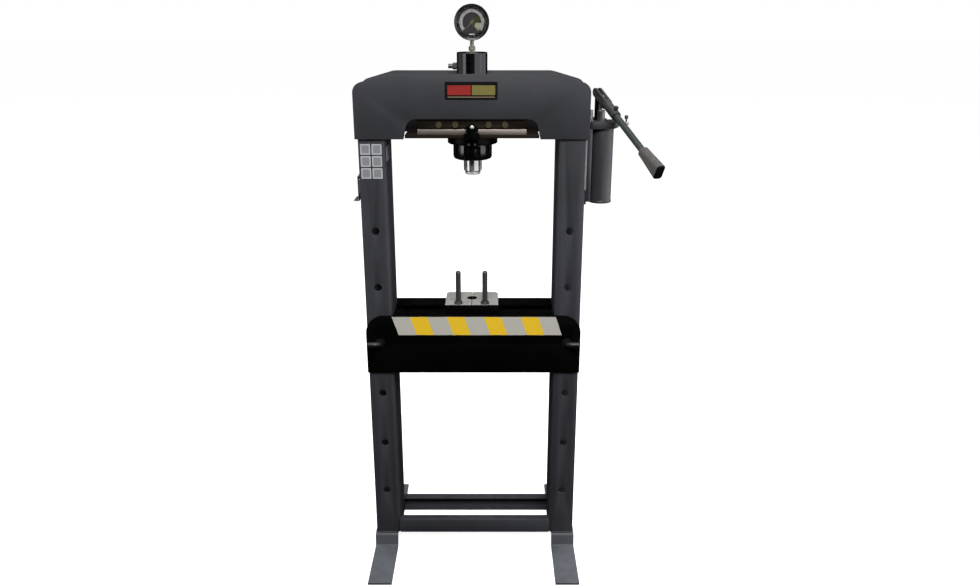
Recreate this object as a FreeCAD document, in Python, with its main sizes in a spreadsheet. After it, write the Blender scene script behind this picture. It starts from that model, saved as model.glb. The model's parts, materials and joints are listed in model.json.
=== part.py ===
import FreeCAD, Part
import math
import os

import Sketcher
from FreeCAD import Rotation, Vector

# A floor-standing workshop press: a welded H frame of channel uprights, a slotted head that carries
# a hydraulic cylinder on a sideways carriage, a height-adjustable bed on two pins, and a hand pump
# on the right-hand upright.
# X runs to the right, Y to the back and Z up; the origin is on the floor, midway between the uprights.

# ---------------------------------------------------------------- driving sizes, in millimetres and degrees

# frame
half_width = 330  # outer side of an upright from the centre line
upright_face = 79  # width of an upright seen from the front
upright_depth = 162  # depth of an upright, front to back
upright_wall = 6  # sheet of the uprights
upright_bend = 5  # inside radius of the uprights' bends
upright_base = 50  # height of the uprights' lower ends
upright_height = 1448  # length of the uprights
pin_hole = 24  # diameter of the holes for the bed pins
pin_hole_low = 213  # height of the lowest pin hole
pin_hole_pitch = 177  # distance from one pin hole to the next
pin_hole_count = 6  # pin holes in an upright
bed_step = 3  # pin holes below the one that holds the bed

# feet and cross bars
foot_width = 76  # width of a foot
foot_inset = 33  # middle of a foot from the upright's outer side
foot_reach = 293  # tip of a foot from the middle, front and back
foot_wall = 8  # sheet of the feet
foot_margin = 6  # raised part of a foot beyond the upright, front and back
foot_slope = 8  # run of the slope from the raised part down to the floor
foot_bend = 5  # inside radius of the bends in a foot
bar_height = 48  # height of the lower cross bars
bar_depth = 30  # depth of the lower cross bars
bar_wall = 4  # sheet of the lower cross bars

# head
head_overhang = 8  # head plates beyond the uprights' outer sides
head_seat = 126  # lower edge of the head plates below the uprights' tops
head_height = 182  # height of the head plates
head_plate = 8  # thickness of the head plates
head_slope = 100  # length of the falling part of the top edge at each end
head_drop = 29  # fall of the top edge towards the shoulders
head_corner = 30  # radius of the shoulders
head_brow = 60  # radius where the level top edge turns down
notch_flare = 12  # how far each side of the front notch runs outwards to its open side
notch_margin = 28  # top of the front notch beyond the guides, each side
notch_height = 57  # height of the front notch
notch_corner = 30  # radius of the notch's upper corners

# guides for the carriage
guide_margin = 3  # guides beyond the cylinder's flange at the end of its travel
guide_beam_wall = 12  # thickness of the beams behind the head plates
guide_beam_height = 62  # height of those beams
shelf_lift = 2  # underside of the shelf above the head's lower edge
shelf_wall = 10  # thickness of the shelf
shelf_inset = 3  # ends of the shelf inside the notch's open side
slide_wall = 16  # thickness of the slide plate
carriage_travel = 80  # travel of the carriage to either side
strip_wall = 7  # thickness of the side guide strips
strip_height = 20  # height of the side guide strips
guide_bolt = 10  # shank of the guide bolts
guide_bolt_head = 17  # width across the flats of the guide bolts
guide_bolt_cap = 6  # height of the guide bolts' heads
guide_bolt_inner = 48  # inner guide bolts from the middle
guide_bolt_outer = 95  # outer guide bolts from the middle
guide_bolt_rise = 13  # guide bolts above the slide plate
sliding_gap = 0.2  # clearance between sliding faces
seat_gap = 0.1  # clearance round a piece that is screwed or pressed in
shaft_gap = 0.08  # radial clearance of a shaft that turns or slides

# cylinder and carriage
carriage_half = 62  # half length of the carriage plate
carriage_wall = 14  # thickness of the carriage plate
barrel_across = 89  # outside diameter of the cylinder
cylinder_height = 236.2  # length of the cylinder above its flange
cylinder_cap = 26  # thickness of the cylinder's closed end
cylinder_bore = 66  # bore of the cylinder
flange_across = 148  # diameter of the cylinder's flange
flange_height = 23  # height of the cylinder's flange
spigot_across = 84  # threaded lower end of the cylinder
spigot_length = 36  # length of that end below the flange
ring_across = 122  # diameter of the ring nut on the carriage
ring_height = 18  # height of the ring nut
ring_slot = 10  # width of the ring nut's spanner slots
gland_across = 116  # diameter of the gland nut
gland_height = 47  # height of the gland nut
gland_floor = 11  # thickness of the gland nut's floor
gland_groove = 13  # width of the gland nut's spanner grooves
gland_groove_depth = 4  # depth of those grooves
gland_groove_count = 10  # grooves round the gland nut
gland_round = 9  # rounding of the gland nut's lower edge
seal_wall = 3.4  # radial thickness of the wiper and the piston seal
seal_height = 6  # height of the wiper and the piston seal

# ram
ram_across = 54  # diameter of the ram
ram_drop = 46  # ram and pressing cap below the gland nut at rest
ram_bore = 30  # bore of the ram for its return spring
ram_floor = 24  # solid lower end of the ram
cap_height = 10  # height of the pressing cap
cap_across = 46  # diameter of the pressing cap
cap_stem = 16  # stem of the pressing cap in the ram
piston_height = 34  # height of the piston
piston_room = 18  # room above the piston at rest
edge_break = 2  # chamfer of turned edges

# carriage lock
lock_wall = 6  # thickness of the lock bracket
lock_half = 18  # half width of the lock bracket
lock_stand = 6  # gap between the slide plate's edge and the lock bracket
lock_stud = 10  # diameter of the lock's stud
lock_rise = 20  # lock bracket above the stud
knob_hub = 28  # diameter of the lock knob's hub
knob_lobe = 20  # diameter of a lobe of the lock knob
knob_circle = 15  # lobe centres from the knob's axis
knob_depth = 18  # thickness of the lock knob

# bed
bed_overhang = 3  # bed rails beyond the uprights' outer sides
bed_height = 189  # height of the bed rails
bed_wall = 8  # sheet of the bed rails
bed_corner = 55  # radius of the bed rails' upper corners
bed_below_pin = 102  # lower edge of the bed rails below the pins
bed_gap = 44  # gap between the two bed rails' flanges
bed_play = 4  # end play of the flanges between the uprights
bed_bend = 6  # inside radius of the bed rails' bends
tie_inset = 12  # bed tie plates from the ends of the flanges
pin_across = 22  # diameter of the bed pins
pin_handle = 20  # diameter of the bed pins' bent handles
pin_elbow = 15  # radius of the bend between pin and handle
pin_handle_reach = 36  # outer end of a handle from its pin's axis
pin_collar = 30  # diameter of the bed pins' collars
pin_collar_height = 4  # height of the bed pins' collars
pin_tail = 10  # bed pins beyond the rear rail
pin_stand = 0.3  # gap under the bed pins' collars

# arbor plates
arbor_across = 82  # width of an arbor plate
arbor_depth = 130  # depth of the arbor plates, front to back
arbor_wall = 30  # thickness of the arbor plates
arbor_seam = 1  # gap between the two arbor plates
arbor_shift = -5  # where the seam lies from the centre line
arbor_front = 4  # middle of the arbor plates in front of the centre
arbor_hole = 32  # diameter of the hole that both plates form
arbor_hole_back = 6  # middle of that hole behind the middle of the plates
arbor_chamfer = 9  # chamfer of the arbor plates' outer corners
arbor_rod = 16  # diameter of the upright rods
arbor_rod_rise = 105  # height of the rods above the plates
arbor_rod_inset = 41  # rods from the seam
arbor_rod_front = 15  # rods behind the plates' front faces
arbor_rod_collar = 26  # diameter of the rods' collars
arbor_rod_collar_height = 7  # height of the rods' collars
arbor_rod_depth = 20  # length of a rod inside its plate

# pressure gauge
gauge_rise = 82  # middle of the gauge above the cylinder
gauge_across = 100  # diameter of the gauge's bezel
gauge_depth = 36  # depth of the gauge, back to glass rim
gauge_wall = 2.5  # wall of the gauge case
gauge_bezel_height = 13  # height of the bezel ring
gauge_bezel_lip = 7  # width of the bezel ring's face
gauge_dial_level = 17  # dial in front of the case's back
gauge_dial_wall = 1.2  # thickness of the dial
gauge_glass_wall = 2.5  # thickness of the glass
gauge_stem = 12  # diameter of the gauge's stem
gauge_stem_flats = 17  # width across the flats of the stem's hexagon
needle_length = 33  # needle tip from its spindle
needle_tail = 10  # needle's tail from its spindle
needle_width = 5  # width of the needle at its spindle
needle_wall = 1  # thickness of the needle
needle_hub = 9  # diameter of the needle's hub
needle_angle = 225  # direction of the needle at no pressure
needle_spindle = 3  # diameter of the needle's spindle

# hose connections
port_drop = 39  # oil port below the cylinder's upper end
port_across = 14  # diameter of an oil port
port_depth = 10  # thread of a connection inside its port
fitting_flats = 17  # width across the flats of a connection
fitting_hex = 12  # height of a connection's hexagon
fitting_nipple = 13  # diameter of a connection's nipple
fitting_length = 25  # whole length of a connection outside
fitting_bore = 6  # bore of a connection

# pump
pump_reach = 56  # pump axis from the upright's outer side
tank_across = 66  # diameter of the oil reservoir
tank_height = 223  # length of the oil reservoir
tank_wall = 3  # wall of the oil reservoir
tank_rim = 6  # height of the thicker rim at the reservoir's lower end
tank_rim_wall = 1.5  # rim beyond the reservoir's side
bracket_lift = 8  # lower edge of the pump bracket above the reservoir's
bracket_wall = 5  # sheet of the pump bracket
bracket_half = 45  # half width of the pump bracket's raised part
bracket_bend = 4  # inside radius of the pump bracket's bends
pump_drop = 103  # underside of the pump head below the uprights' tops
pump_height = 19  # height of the pump head
pump_width = 90  # width of the pump head
pump_half_depth = 42  # half depth of the pump head
pump_corner = 18  # radius of the pump head's corners
pump_nose = 20  # length of the sloping underside at the pump head's right end
pump_nose_rise = 6  # rise of that underside
plunger_shift = 6  # plunger to the left of the pump axis
plunger_across = 16  # diameter of the plunger
plunger_sink = 14  # plunger inside the pump head at rest
sleeve_across = 23  # outside diameter of the pump barrel
sleeve_height = 32  # pump barrel above the pump head
sleeve_thread = 10  # pump barrel inside the pump head
plug_across = 18  # diameter of the filler plug
plug_height = 4  # height of the filler plug
outlet_rise = 32  # pump outlet above the pump head
outlet_inset = 9  # pump outlet from the pump head's left side

# lever
lever_turn = -67.7  # lever's direction seen from above, from +X
lever_tilt = 27.5  # lever's slope below the level at rest
fulcrum_rise = 81  # fulcrum above the pump head
fulcrum_back = 26  # fulcrum behind the plunger
ear_wall = 8  # thickness of the fulcrum ear and the plunger's tang
ear_half = 9  # half width of the fulcrum ear
tang_half = 8  # half width of the plunger's tang
lever_pin = 8  # diameter of the lever's two pins
cheek_gap = 0.3  # clearance between the fork's cheeks and what they hold
cheek_wall = 6  # thickness of a cheek of the fork
fork_half = 12.5  # half height of the fork
fork_throat = 58  # depth of the fork from the fulcrum
fork_length = 70  # fork body from the fulcrum
slot_play = 0.6  # clearance round the plunger pin in the fork's slot
slot_start = 25.4  # inner end of the pin's path in the slot
slot_end = 29.9  # outer end of the pin's path in the slot
socket_across = 28  # diameter of the handle socket
socket_end = 128  # end of the handle socket from the fulcrum
handle_across = 19  # diameter of the handle rod
handle_start = 72  # inner end of the handle rod from the fulcrum
grip_start = 296  # inner end of the grip from the fulcrum
grip_end = 394  # outer end of the grip from the fulcrum
grip_floor = 8  # closed end of the grip beyond the handle rod
grip_width = 27  # width of the grip
grip_height = 44  # height of the grip at its outer end
grip_neck = 27  # height of the grip at its inner end
grip_round = 9  # rounding along the grip
set_screw = 8  # diameter of the handle's set screw
set_screw_head = 13  # diameter of the set screw's head
set_screw_place = 114  # set screw from the fulcrum

# release valve
valve_rise = 12  # release valve above the pump head's underside
valve_boss = 13  # diameter of the release valve's boss
valve_boss_length = 10  # length of that boss
valve_spindle = 8  # diameter of the valve spindle
valve_spindle_reach = 32  # valve spindle outside the pump head
valve_bar = 5  # diameter of the valve's cross bar
valve_bar_half = 18  # middle of an end knob from the middle of the cross bar
valve_knob = 11  # diameter and length of the cross bar's end knobs

# holder on the left upright
holder_drop = 240  # upper edge of the holder below the uprights' tops
holder_height = 79  # height of the holder's face
holder_stand = 15  # holder's face from the upright
holder_ledge = 14  # holder's ledge beyond its face
holder_half = 32  # half width of the holder's face
holder_wall = 3  # sheet of the holder
holder_strap = 46  # height of the strap across the upright's open side


# ---------------------------------------------------------------- the sheet

DOC = FreeCAD.newDocument("workshop_press")
SHEET = DOC.addObject("Spreadsheet::Sheet", "sizes")


class Size:
    """A number together with the expression that works it out from the sheet."""

    def __init__(self, number, formula):
        self.number = float(number)
        self.formula = formula

    def __add__(self, other):
        other = sized(other)
        return Size(self.number + other.number, f"({self.formula} + {other.formula})")

    def __sub__(self, other):
        other = sized(other)
        return Size(self.number - other.number, f"({self.formula} - {other.formula})")

    def __mul__(self, other):
        other = sized(other)
        return Size(self.number * other.number, f"({self.formula} * {other.formula})")

    def __truediv__(self, other):
        other = sized(other)
        return Size(self.number / other.number, f"({self.formula} / {other.formula})")

    def __rsub__(self, other):
        return sized(other) - self

    def __neg__(self):
        return Size(-self.number, f"(0 - {self.formula})")

    __radd__ = __add__
    __rmul__ = __mul__


def sized(value):
    """A plain number as a Size; a Size stays as it is."""
    if isinstance(value, Size):
        return value
    return Size(value, f"({float(value)!r})")


def cosine(angle):
    return Size(math.cos(math.radians(angle.number)), f"cos({angle.formula})")


def sine(angle):
    return Size(math.sin(math.radians(angle.number)), f"sin({angle.formula})")


def tangent(angle):
    return Size(math.tan(math.radians(angle.number)), f"tan({angle.formula})")


# every number named above becomes a cell of the sheet, and its name then stands for that cell
SIZE_NAMES = [name for name, value in globals().items() if isinstance(value, (int, float))]
for row, name in enumerate(SIZE_NAMES, 1):
    SHEET.set(f"A{row}", name.replace("_", " "))
    SHEET.set(f"B{row}", str(globals()[name]))
    SHEET.setAlias(f"B{row}", name)
    globals()[name] = Size(globals()[name], f"sizes.{name}")
DOC.recompute()

# levels and faces that several pieces share
frame_front = upright_depth / 2
upright_top = upright_base + upright_height
web_face = half_width - upright_face
pin_column = half_width - upright_face / 2
foot_centre = half_width - foot_inset
foot_seat = frame_front + foot_margin
foot_heel = foot_seat + foot_slope
pin_level = pin_hole_low + pin_hole_pitch * bed_step
bed_half = half_width + bed_overhang
bed_bottom = pin_level - bed_below_pin
bed_top = bed_bottom + bed_height
head_half = half_width + head_overhang
head_flat = head_half - head_slope
head_bottom = upright_top - head_seat
guide_half = flange_across / 2 + carriage_travel + guide_margin
notch_high = guide_half + notch_margin
notch_low = notch_high + notch_flare
shelf_bottom = head_bottom + shelf_lift
slide_bottom = shelf_bottom + shelf_wall
slide_top = slide_bottom + slide_wall
strip_face = frame_front - guide_beam_wall - strip_wall
flange_top = shelf_bottom - sliding_gap
flange_bottom = flange_top - flange_height
spigot_bottom = flange_bottom - spigot_length
gland_bottom = flange_bottom - gland_height
carriage_bottom = slide_top + sliding_gap
carriage_top = carriage_bottom + carriage_wall
cylinder_top = flange_top + cylinder_height
port_level = cylinder_top - port_drop
gauge_level = cylinder_top + gauge_rise
cavity_top = cylinder_top - cylinder_cap
piston_top = cavity_top - piston_room
piston_bottom = piston_top - piston_height
cap_bottom = gland_bottom - ram_drop
ram_bottom = cap_bottom + cap_height
pump_base = upright_top - pump_drop
tank_bottom = pump_base - tank_height
bracket_bottom = tank_bottom + bracket_lift
pump_axis = half_width + pump_reach
plunger_axis = pump_axis - plunger_shift
pump_left = pump_axis - pump_width / 2
pump_right = pump_axis + pump_width / 2
pump_top = pump_base + pump_height
fulcrum_level = pump_top + fulcrum_rise
plunger_pin_level = fulcrum_level - fulcrum_back * tangent(lever_tilt)
lock_level = slide_bottom + slide_wall / 2
holder_top = upright_top - holder_drop


# ---------------------------------------------------------------- building helpers

PLANES = {"XY": "XY_Plane", "XZ": "XZ_Plane", "YZ": "YZ_Plane"}
FACING = {"up": Rotation(), "front": Rotation(Vector(1, 0, 0), 90), "back": Rotation(Vector(1, 0, 0), -90),
          "right": Rotation(Vector(0, 1, 0), 90), "left": Rotation(Vector(0, 1, 0), -90)}
PARTS = []


def part(item, name):
    """Enters a finished document object as the sub-part of that name."""
    item.Label = name
    PARTS.append(item)
    return item


def bind(item, entry, size):
    item.setExpression(entry, sized(size).formula)


def new_body(name):
    return part(DOC.addObject("PartDesign::Body", name + "_body"), name)


def place(item, x=0, y=0, z=0, facing="up"):
    """Turns an object from +Z to its facing and moves it to a point that stays bound to the sheet."""
    item.Placement.Rotation = FACING[facing]
    for letter, size in zip("xyz", (x, y, z)):
        bind(item, f"Placement.Base.{letter}", size)
    return item


def new_sketch(body, plane, level=0):
    """A sketch on one of the body's own planes, moved along that plane's normal."""
    sketch = body.newObject("Sketcher::SketchObject", "outline")
    support = next(item for item in body.Origin.OriginFeatures if item.Role == PLANES[plane])
    sketch.AttachmentSupport = [(support, "")]
    sketch.MapMode = "FlatFace"
    bind(sketch, "AttachmentOffset.Base.z", level)
    return sketch


def hold(sketch, kind, place_of, size):
    """Adds one dimension to a sketch and ties it to the sheet."""
    size = sized(size)
    index = sketch.addConstraint(Sketcher.Constraint(kind, *place_of, size.number))
    bind(sketch, f"Constraints[{index}]", size)


def draw_corners(sketch, corners):
    """A closed outline of straight lines, each corner held by its two distances from the origin."""
    points = [Vector(sized(x).number, sized(y).number, 0) for x, y in corners]
    first = sketch.GeometryCount
    count = len(points)
    for index, point in enumerate(points):
        sketch.addGeometry(Part.LineSegment(point, points[(index + 1) % count]), False)
    for index, (x, y) in enumerate(corners):
        line = first + index
        sketch.addConstraint(Sketcher.Constraint("Coincident", line, 2, first + (index + 1) % count, 1))
        hold(sketch, "DistanceX", (-1, 1, line, 1), x)
        hold(sketch, "DistanceY", (-1, 1, line, 1), y)


def draw_circle(sketch, x, y, diameter):
    centre = Vector(sized(x).number, sized(y).number, 0)
    line = sketch.addGeometry(Part.Circle(centre, Vector(0, 0, 1), sized(diameter).number / 2), False)
    hold(sketch, "DistanceX", (-1, 1, line, 3), x)
    hold(sketch, "DistanceY", (-1, 1, line, 3), y)
    hold(sketch, "Diameter", (line, ), diameter)


def draw_hexagon(sketch, flats):
    """A hexagon round the origin with the given width across its flats."""
    corner = flats / (2 * math.cos(math.radians(30)))
    draw_corners(sketch, [(corner * round(math.cos(math.radians(60 * n)), 9),
                           corner * round(math.sin(math.radians(60 * n)), 9)) for n in range(6)])


def start_and_length(plane, low, high):
    """Where a sketch plane starts and how far the solid runs, from its two world levels."""
    low, high = sized(low), sized(high)
    if low.number > high.number:
        low, high = high, low
    if plane == "XZ":
        return -high, high - low
    return low, high - low


def pad(body, plane, low, high, draw):
    """Adds material between two levels; draw fills in the sketch."""
    start, length = start_and_length(plane, low, high)
    sketch = new_sketch(body, plane, start)
    draw(sketch)
    feature = body.newObject("PartDesign::Pad", "pad")
    feature.Profile = sketch
    bind(feature, "Length", length)
    DOC.recompute()
    return feature


def pocket(body, plane, low, high, draw):
    """Cuts between two levels and makes sure that something was cut."""
    start, length = start_and_length(plane, low, high)
    before = body.Shape.Volume
    sketch = new_sketch(body, plane, start)
    draw(sketch)
    feature = body.newObject("PartDesign::Pocket", "pocket")
    feature.Profile = sketch
    feature.Reversed = True
    bind(feature, "Length", length)
    DOC.recompute()
    if not body.Shape.Volume < before:
        raise RuntimeError(f"{body.Label}: a pocket cuts nothing")
    return feature


def prism(name, plane, low, high, corners):
    """A body that is one straight-sided outline between two levels."""
    body = new_body(name)
    pad(body, plane, low, high, lambda sketch: draw_corners(sketch, corners))
    return body


def drill(body, plane, low, high, x, y, diameter):
    return pocket(body, plane, low, high, lambda sketch: draw_circle(sketch, x, y, diameter))


def revolve(body, corners):
    """Turns an outline of radii and heights about the body's Z axis."""
    sketch = new_sketch(body, "XZ")
    draw_corners(sketch, corners)
    feature = body.newObject("PartDesign::Revolution", "turning")
    feature.Profile = sketch
    feature.ReferenceAxis = (sketch, ["V_Axis"])
    feature.Angle = 360
    DOC.recompute()
    return feature


def turned(name, corners):
    """A body that is one turned outline."""
    body = new_body(name)
    revolve(body, corners)
    return body


def round_pattern(body, feature, count):
    """Repeats a feature round the body's Z axis."""
    pattern = body.newObject("PartDesign::PolarPattern", "round_pattern")
    pattern.Originals = [feature]
    pattern.Axis = (feature.Profile[0], ["N_Axis"])
    pattern.Angle = 360
    bind(pattern, "Occurrences", count)
    body.Tip = pattern
    DOC.recompute()
    return pattern


def near(value, size, slack=0.01):
    return abs(value - sized(size).number) < slack


def edges_along(shape, axis, crossings):
    """Names of the straight edges that run along an axis through one of the crossings."""
    run = "xyz".index(axis)
    across = [index for index in range(3) if index != run]
    names = []
    for number, edge in enumerate(shape.Edges, 1):
        if edge.Curve.TypeId != "Part::GeomLine" or abs(edge.tangentAt(edge.FirstParameter)[run]) < 0.9999:
            continue
        middle = edge.CenterOfMass
        if any(near(middle[across[0]], u) and near(middle[across[1]], v) for u, v in crossings):
            names.append(f"Edge{number}")
    return names


def rings_at(shape, diameter, level):
    """Names of the full circles round the Z axis with that diameter at that level."""
    names = []
    for number, edge in enumerate(shape.Edges, 1):
        if edge.Curve.TypeId == "Part::GeomCircle" and near(edge.Curve.Radius, diameter / 2):
            if near(edge.Curve.Center.z, level) and near(math.hypot(*edge.Curve.Center[:2]), 0):
                names.append(f"Edge{number}")
    return names


def end_edges(shape, level):
    """Names of the edges that lie in the plane across X at that level."""
    names = []
    for number, edge in enumerate(shape.Edges, 1):
        if near(edge.BoundBox.XMin, level) and near(edge.BoundBox.XMax, level):
            names.append(f"Edge{number}")
    return names


def soften(body, kind, edges, size):
    """A fillet or a chamfer on the named edges of the body as it stands."""
    if not edges:
        raise RuntimeError(f"{body.Label}: no edge to soften")
    base = body.Tip
    feature = body.newObject("PartDesign::" + kind, kind.lower())
    feature.Base = (base, edges)
    bind(feature, "Radius" if kind == "Fillet" else "Size", size)
    DOC.recompute()
    return feature


def fillet_along(body, axis, crossings, radius):
    return soften(body, "Fillet", edges_along(body.Shape, axis, crossings), radius)


def cylinder(diameter, height, x=0, y=0, z=0, facing="up"):
    item = DOC.addObject("Part::Cylinder", "rod")
    bind(item, "Radius", diameter / 2)
    bind(item, "Height", height)
    return place(item, x, y, z, facing)


def hexagon_bar(flats, height, x=0, y=0, z=0, facing="up"):
    item = DOC.addObject("Part::Prism", "hexagon")
    item.Polygon = 6
    bind(item, "Circumradius", flats / (2 * math.cos(math.radians(30))))
    bind(item, "Height", height)
    return place(item, x, y, z, facing)


def fuse(name, items):
    item = part(DOC.addObject("Part::MultiFuse", name + "_union"), name)
    item.Shapes = items
    DOC.recompute()
    return item


def group(name, items):
    """Separate like solids that share one node."""
    item = part(DOC.addObject("Part::Compound", name + "_group"), name)
    item.Links = items
    DOC.recompute()
    return item


# ---------------------------------------------------------------- frame

def build_upright(side, name):
    """A channel with its web to the inside, bent from one sheet, with a column of pin holes."""
    web = side * web_face
    lining = side * (web_face + upright_wall)
    outer = side * half_width
    inner_depth = frame_front - upright_wall
    body = prism(name, "XY", upright_base, upright_top, [
        (web, -frame_front), (outer, -frame_front), (outer, -inner_depth), (lining, -inner_depth),
        (lining, inner_depth), (outer, inner_depth), (outer, frame_front), (web, frame_front)])
    fillet_along(body, "z", [(web, -frame_front), (web, frame_front)], upright_bend + upright_wall)
    fillet_along(body, "z", [(lining, -inner_depth), (lining, inner_depth)], upright_bend)
    hole = drill(body, "XZ", -frame_front, frame_front, side * pin_column, pin_hole_low, pin_hole)
    column = body.newObject("PartDesign::LinearPattern", "pin_holes")
    column.Originals = [hole]
    column.Direction = (hole.Profile[0], ["V_Axis"])
    column.Mode = "Spacing"
    bind(column, "Offset", pin_hole_pitch)
    bind(column, "Occurrences", pin_hole_count)
    body.Tip = column
    DOC.recompute()


def build_foot(side, name):
    """A flat strip bent over the floor like a low bridge; the upright stands on its raised middle."""
    floor_top = foot_wall
    inner_heel = foot_heel - foot_wall
    inner_seat = foot_seat - foot_wall
    rise = upright_base
    half = [(foot_reach, 0), (foot_reach, floor_top), (foot_heel, floor_top), (foot_seat, rise)]
    under = [(inner_seat, rise - foot_wall), (inner_heel, 0)]
    corners = half + [(-x, y) for x, y in reversed(half)]
    corners += [(-x, y) for x, y in reversed(under)] + under
    edge = side * foot_centre - foot_width / 2
    body = prism(name, "YZ", edge, edge + foot_width, corners)
    both = (1, -1)
    fillet_along(body, "x", [(n * foot_heel, floor_top) for n in both]
                 + [(n * inner_seat, rise - foot_wall) for n in both], foot_bend)
    fillet_along(body, "x", [(n * foot_seat, rise) for n in both]
                 + [(n * inner_heel, 0) for n in both], foot_bend + foot_wall)


def build_cross_bar(side, name):
    """A small channel between the uprights' webs, flush with their faces, open to the inside."""
    face = side * frame_front
    lining = side * (frame_front - bar_wall)
    lip = side * (frame_front - bar_depth)
    low, high = upright_base, upright_base + bar_height
    prism(name, "YZ", -web_face, web_face, [
        (face, low), (lip, low), (lip, low + bar_wall), (lining, low + bar_wall),
        (lining, high - bar_wall), (lip, high - bar_wall), (lip, high), (face, high)])


def build_head_plate(side, name, notched):
    """The plate that spans both uprights; the front one has a notch that shows the carriage."""
    top = head_bottom + head_height
    shoulder = top - head_drop
    corners = [(head_half, head_bottom), (head_half, shoulder), (head_flat, top),
               (-head_flat, top), (-head_half, shoulder), (-head_half, head_bottom)]
    if notched:
        ceiling = head_bottom + notch_height
        corners += [(-notch_low, head_bottom), (-notch_high, ceiling),
                    (notch_high, ceiling), (notch_low, head_bottom)]
    body = prism(name, "XZ", side * frame_front, side * (frame_front + head_plate), corners)
    fillet_along(body, "y", [(head_half, shoulder), (-head_half, shoulder)], head_corner)
    fillet_along(body, "y", [(head_flat, top), (-head_flat, top)], head_brow)
    if notched:
        fillet_along(body, "y", [(notch_high, ceiling), (-notch_high, ceiling)], notch_corner)


build_upright(-1, "left_upright")
build_upright(1, "right_upright")
build_foot(-1, "left_foot")
build_foot(1, "right_foot")
build_cross_bar(-1, "front_cross_bar")
build_cross_bar(1, "rear_cross_bar")
build_head_plate(-1, "front_head_plate", True)
build_head_plate(1, "rear_head_plate", False)


# ---------------------------------------------------------------- guides in the head

bolt_places = [-guide_bolt_outer, -guide_bolt_inner, guide_bolt_inner, guide_bolt_outer]
bolt_level = slide_top + guide_bolt_rise


def draw_bolt_holes(sketch):
    for x in bolt_places:
        draw_circle(sketch, x, bolt_level, guide_bolt + 2 * seat_gap)


def build_guide_beam(side, name):
    """A flat bar welded behind a head plate; the front one lets the guide bolts through."""
    inner = side * (frame_front - guide_beam_wall)
    body = prism(name, "YZ", -guide_half, guide_half, [
        (side * frame_front, slide_top), (inner, slide_top),
        (inner, slide_top + guide_beam_height), (side * frame_front, slide_top + guide_beam_height)])
    if side < 0:
        pocket(body, "XZ", side * frame_front, inner, draw_bolt_holes)


def build_guide_strip(side, name):
    """A narrow bar that keeps the carriage square; the front one has blind holes for its bolts."""
    outer = side * (frame_front - guide_beam_wall)
    inner = side * strip_face
    centre = bolt_level
    body = prism(name, "XZ", outer, inner, [
        (-guide_half, centre - strip_height / 2), (guide_half, centre - strip_height / 2),
        (guide_half, centre + strip_height / 2), (-guide_half, centre + strip_height / 2)])
    if side < 0:
        pocket(body, "XZ", outer, side * (strip_face + strip_wall / 4), draw_bolt_holes)


def build_guide_bolts():
    """Hexagon bolts with their heads on the outside of the front guide beam."""
    length = guide_beam_wall + strip_wall / 2
    bolts = []
    for x in bolt_places:
        start = -(frame_front + guide_bolt_cap)
        shank = cylinder(guide_bolt, length, x, -frame_front, bolt_level, "back")
        head = hexagon_bar(guide_bolt_head, guide_bolt_cap, x, start, bolt_level, "back")
        bolt = DOC.addObject("Part::Fuse", "bolt")
        bolt.Base = head
        bolt.Tool = shank
        bolts.append(bolt)
    group("guide_bolts", bolts)


def build_slotted_plate(name, half, low, high):
    """A plate between the head plates, slotted for the travel of the cylinder."""
    body = prism(name, "XY", low, high, [
        (-half, -frame_front), (half, -frame_front), (half, frame_front), (-half, frame_front)])
    slot = barrel_across + 2 * edge_break
    pocket(body, "XY", low, high, lambda sketch: draw_corners(sketch, [
        (-carriage_travel, -slot / 2), (carriage_travel, -slot / 2),
        (carriage_travel, slot / 2), (-carriage_travel, slot / 2)]))
    for end in (-1, 1):
        drill(body, "XY", low, high, end * carriage_travel, 0, slot)


build_guide_beam(-1, "front_guide_beam")
build_guide_beam(1, "rear_guide_beam")
build_guide_strip(-1, "front_guide_strip")
build_guide_strip(1, "rear_guide_strip")
build_guide_bolts()
build_slotted_plate("head_shelf", notch_low - shelf_inset, shelf_bottom, slide_bottom)
build_slotted_plate("slide_plate", guide_half, slide_bottom, slide_top)


# ---------------------------------------------------------------- cylinder and carriage

def build_carriage_plate():
    """The plate that slides between the guide strips and carries the cylinder by its ring nut."""
    half = strip_face - sliding_gap
    body = prism("carriage_plate", "XY", carriage_bottom, carriage_top, [
        (-carriage_half, -half), (carriage_half, -half), (carriage_half, half), (-carriage_half, half)])
    drill(body, "XY", carriage_bottom, carriage_top, 0, 0, barrel_across + 2 * seat_gap)


def build_cylinder():
    """Barrel, flange and threaded lower end in one turned piece, closed at the top."""
    bore, barrel = cylinder_bore / 2, barrel_across / 2
    flange, spigot = flange_across / 2, spigot_across / 2
    body = turned("cylinder", [
        (bore, spigot_bottom), (spigot, spigot_bottom), (spigot, flange_bottom), (flange, flange_bottom),
        (flange, flange_top), (barrel, flange_top), (barrel, cylinder_top), (0, cylinder_top),
        (0, cavity_top), (bore, cavity_top)])
    soften(body, "Chamfer", rings_at(body.Shape, flange_across, flange_bottom), edge_break)
    soften(body, "Chamfer", rings_at(body.Shape, barrel_across, cylinder_top), edge_break)
    drill(body, "YZ", -barrel - edge_break, -(barrel - port_depth - 1), 0, port_level, port_across)
    drill(body, "XY", cylinder_top - port_depth - 1, cylinder_top, 0, 0, port_across)


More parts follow.
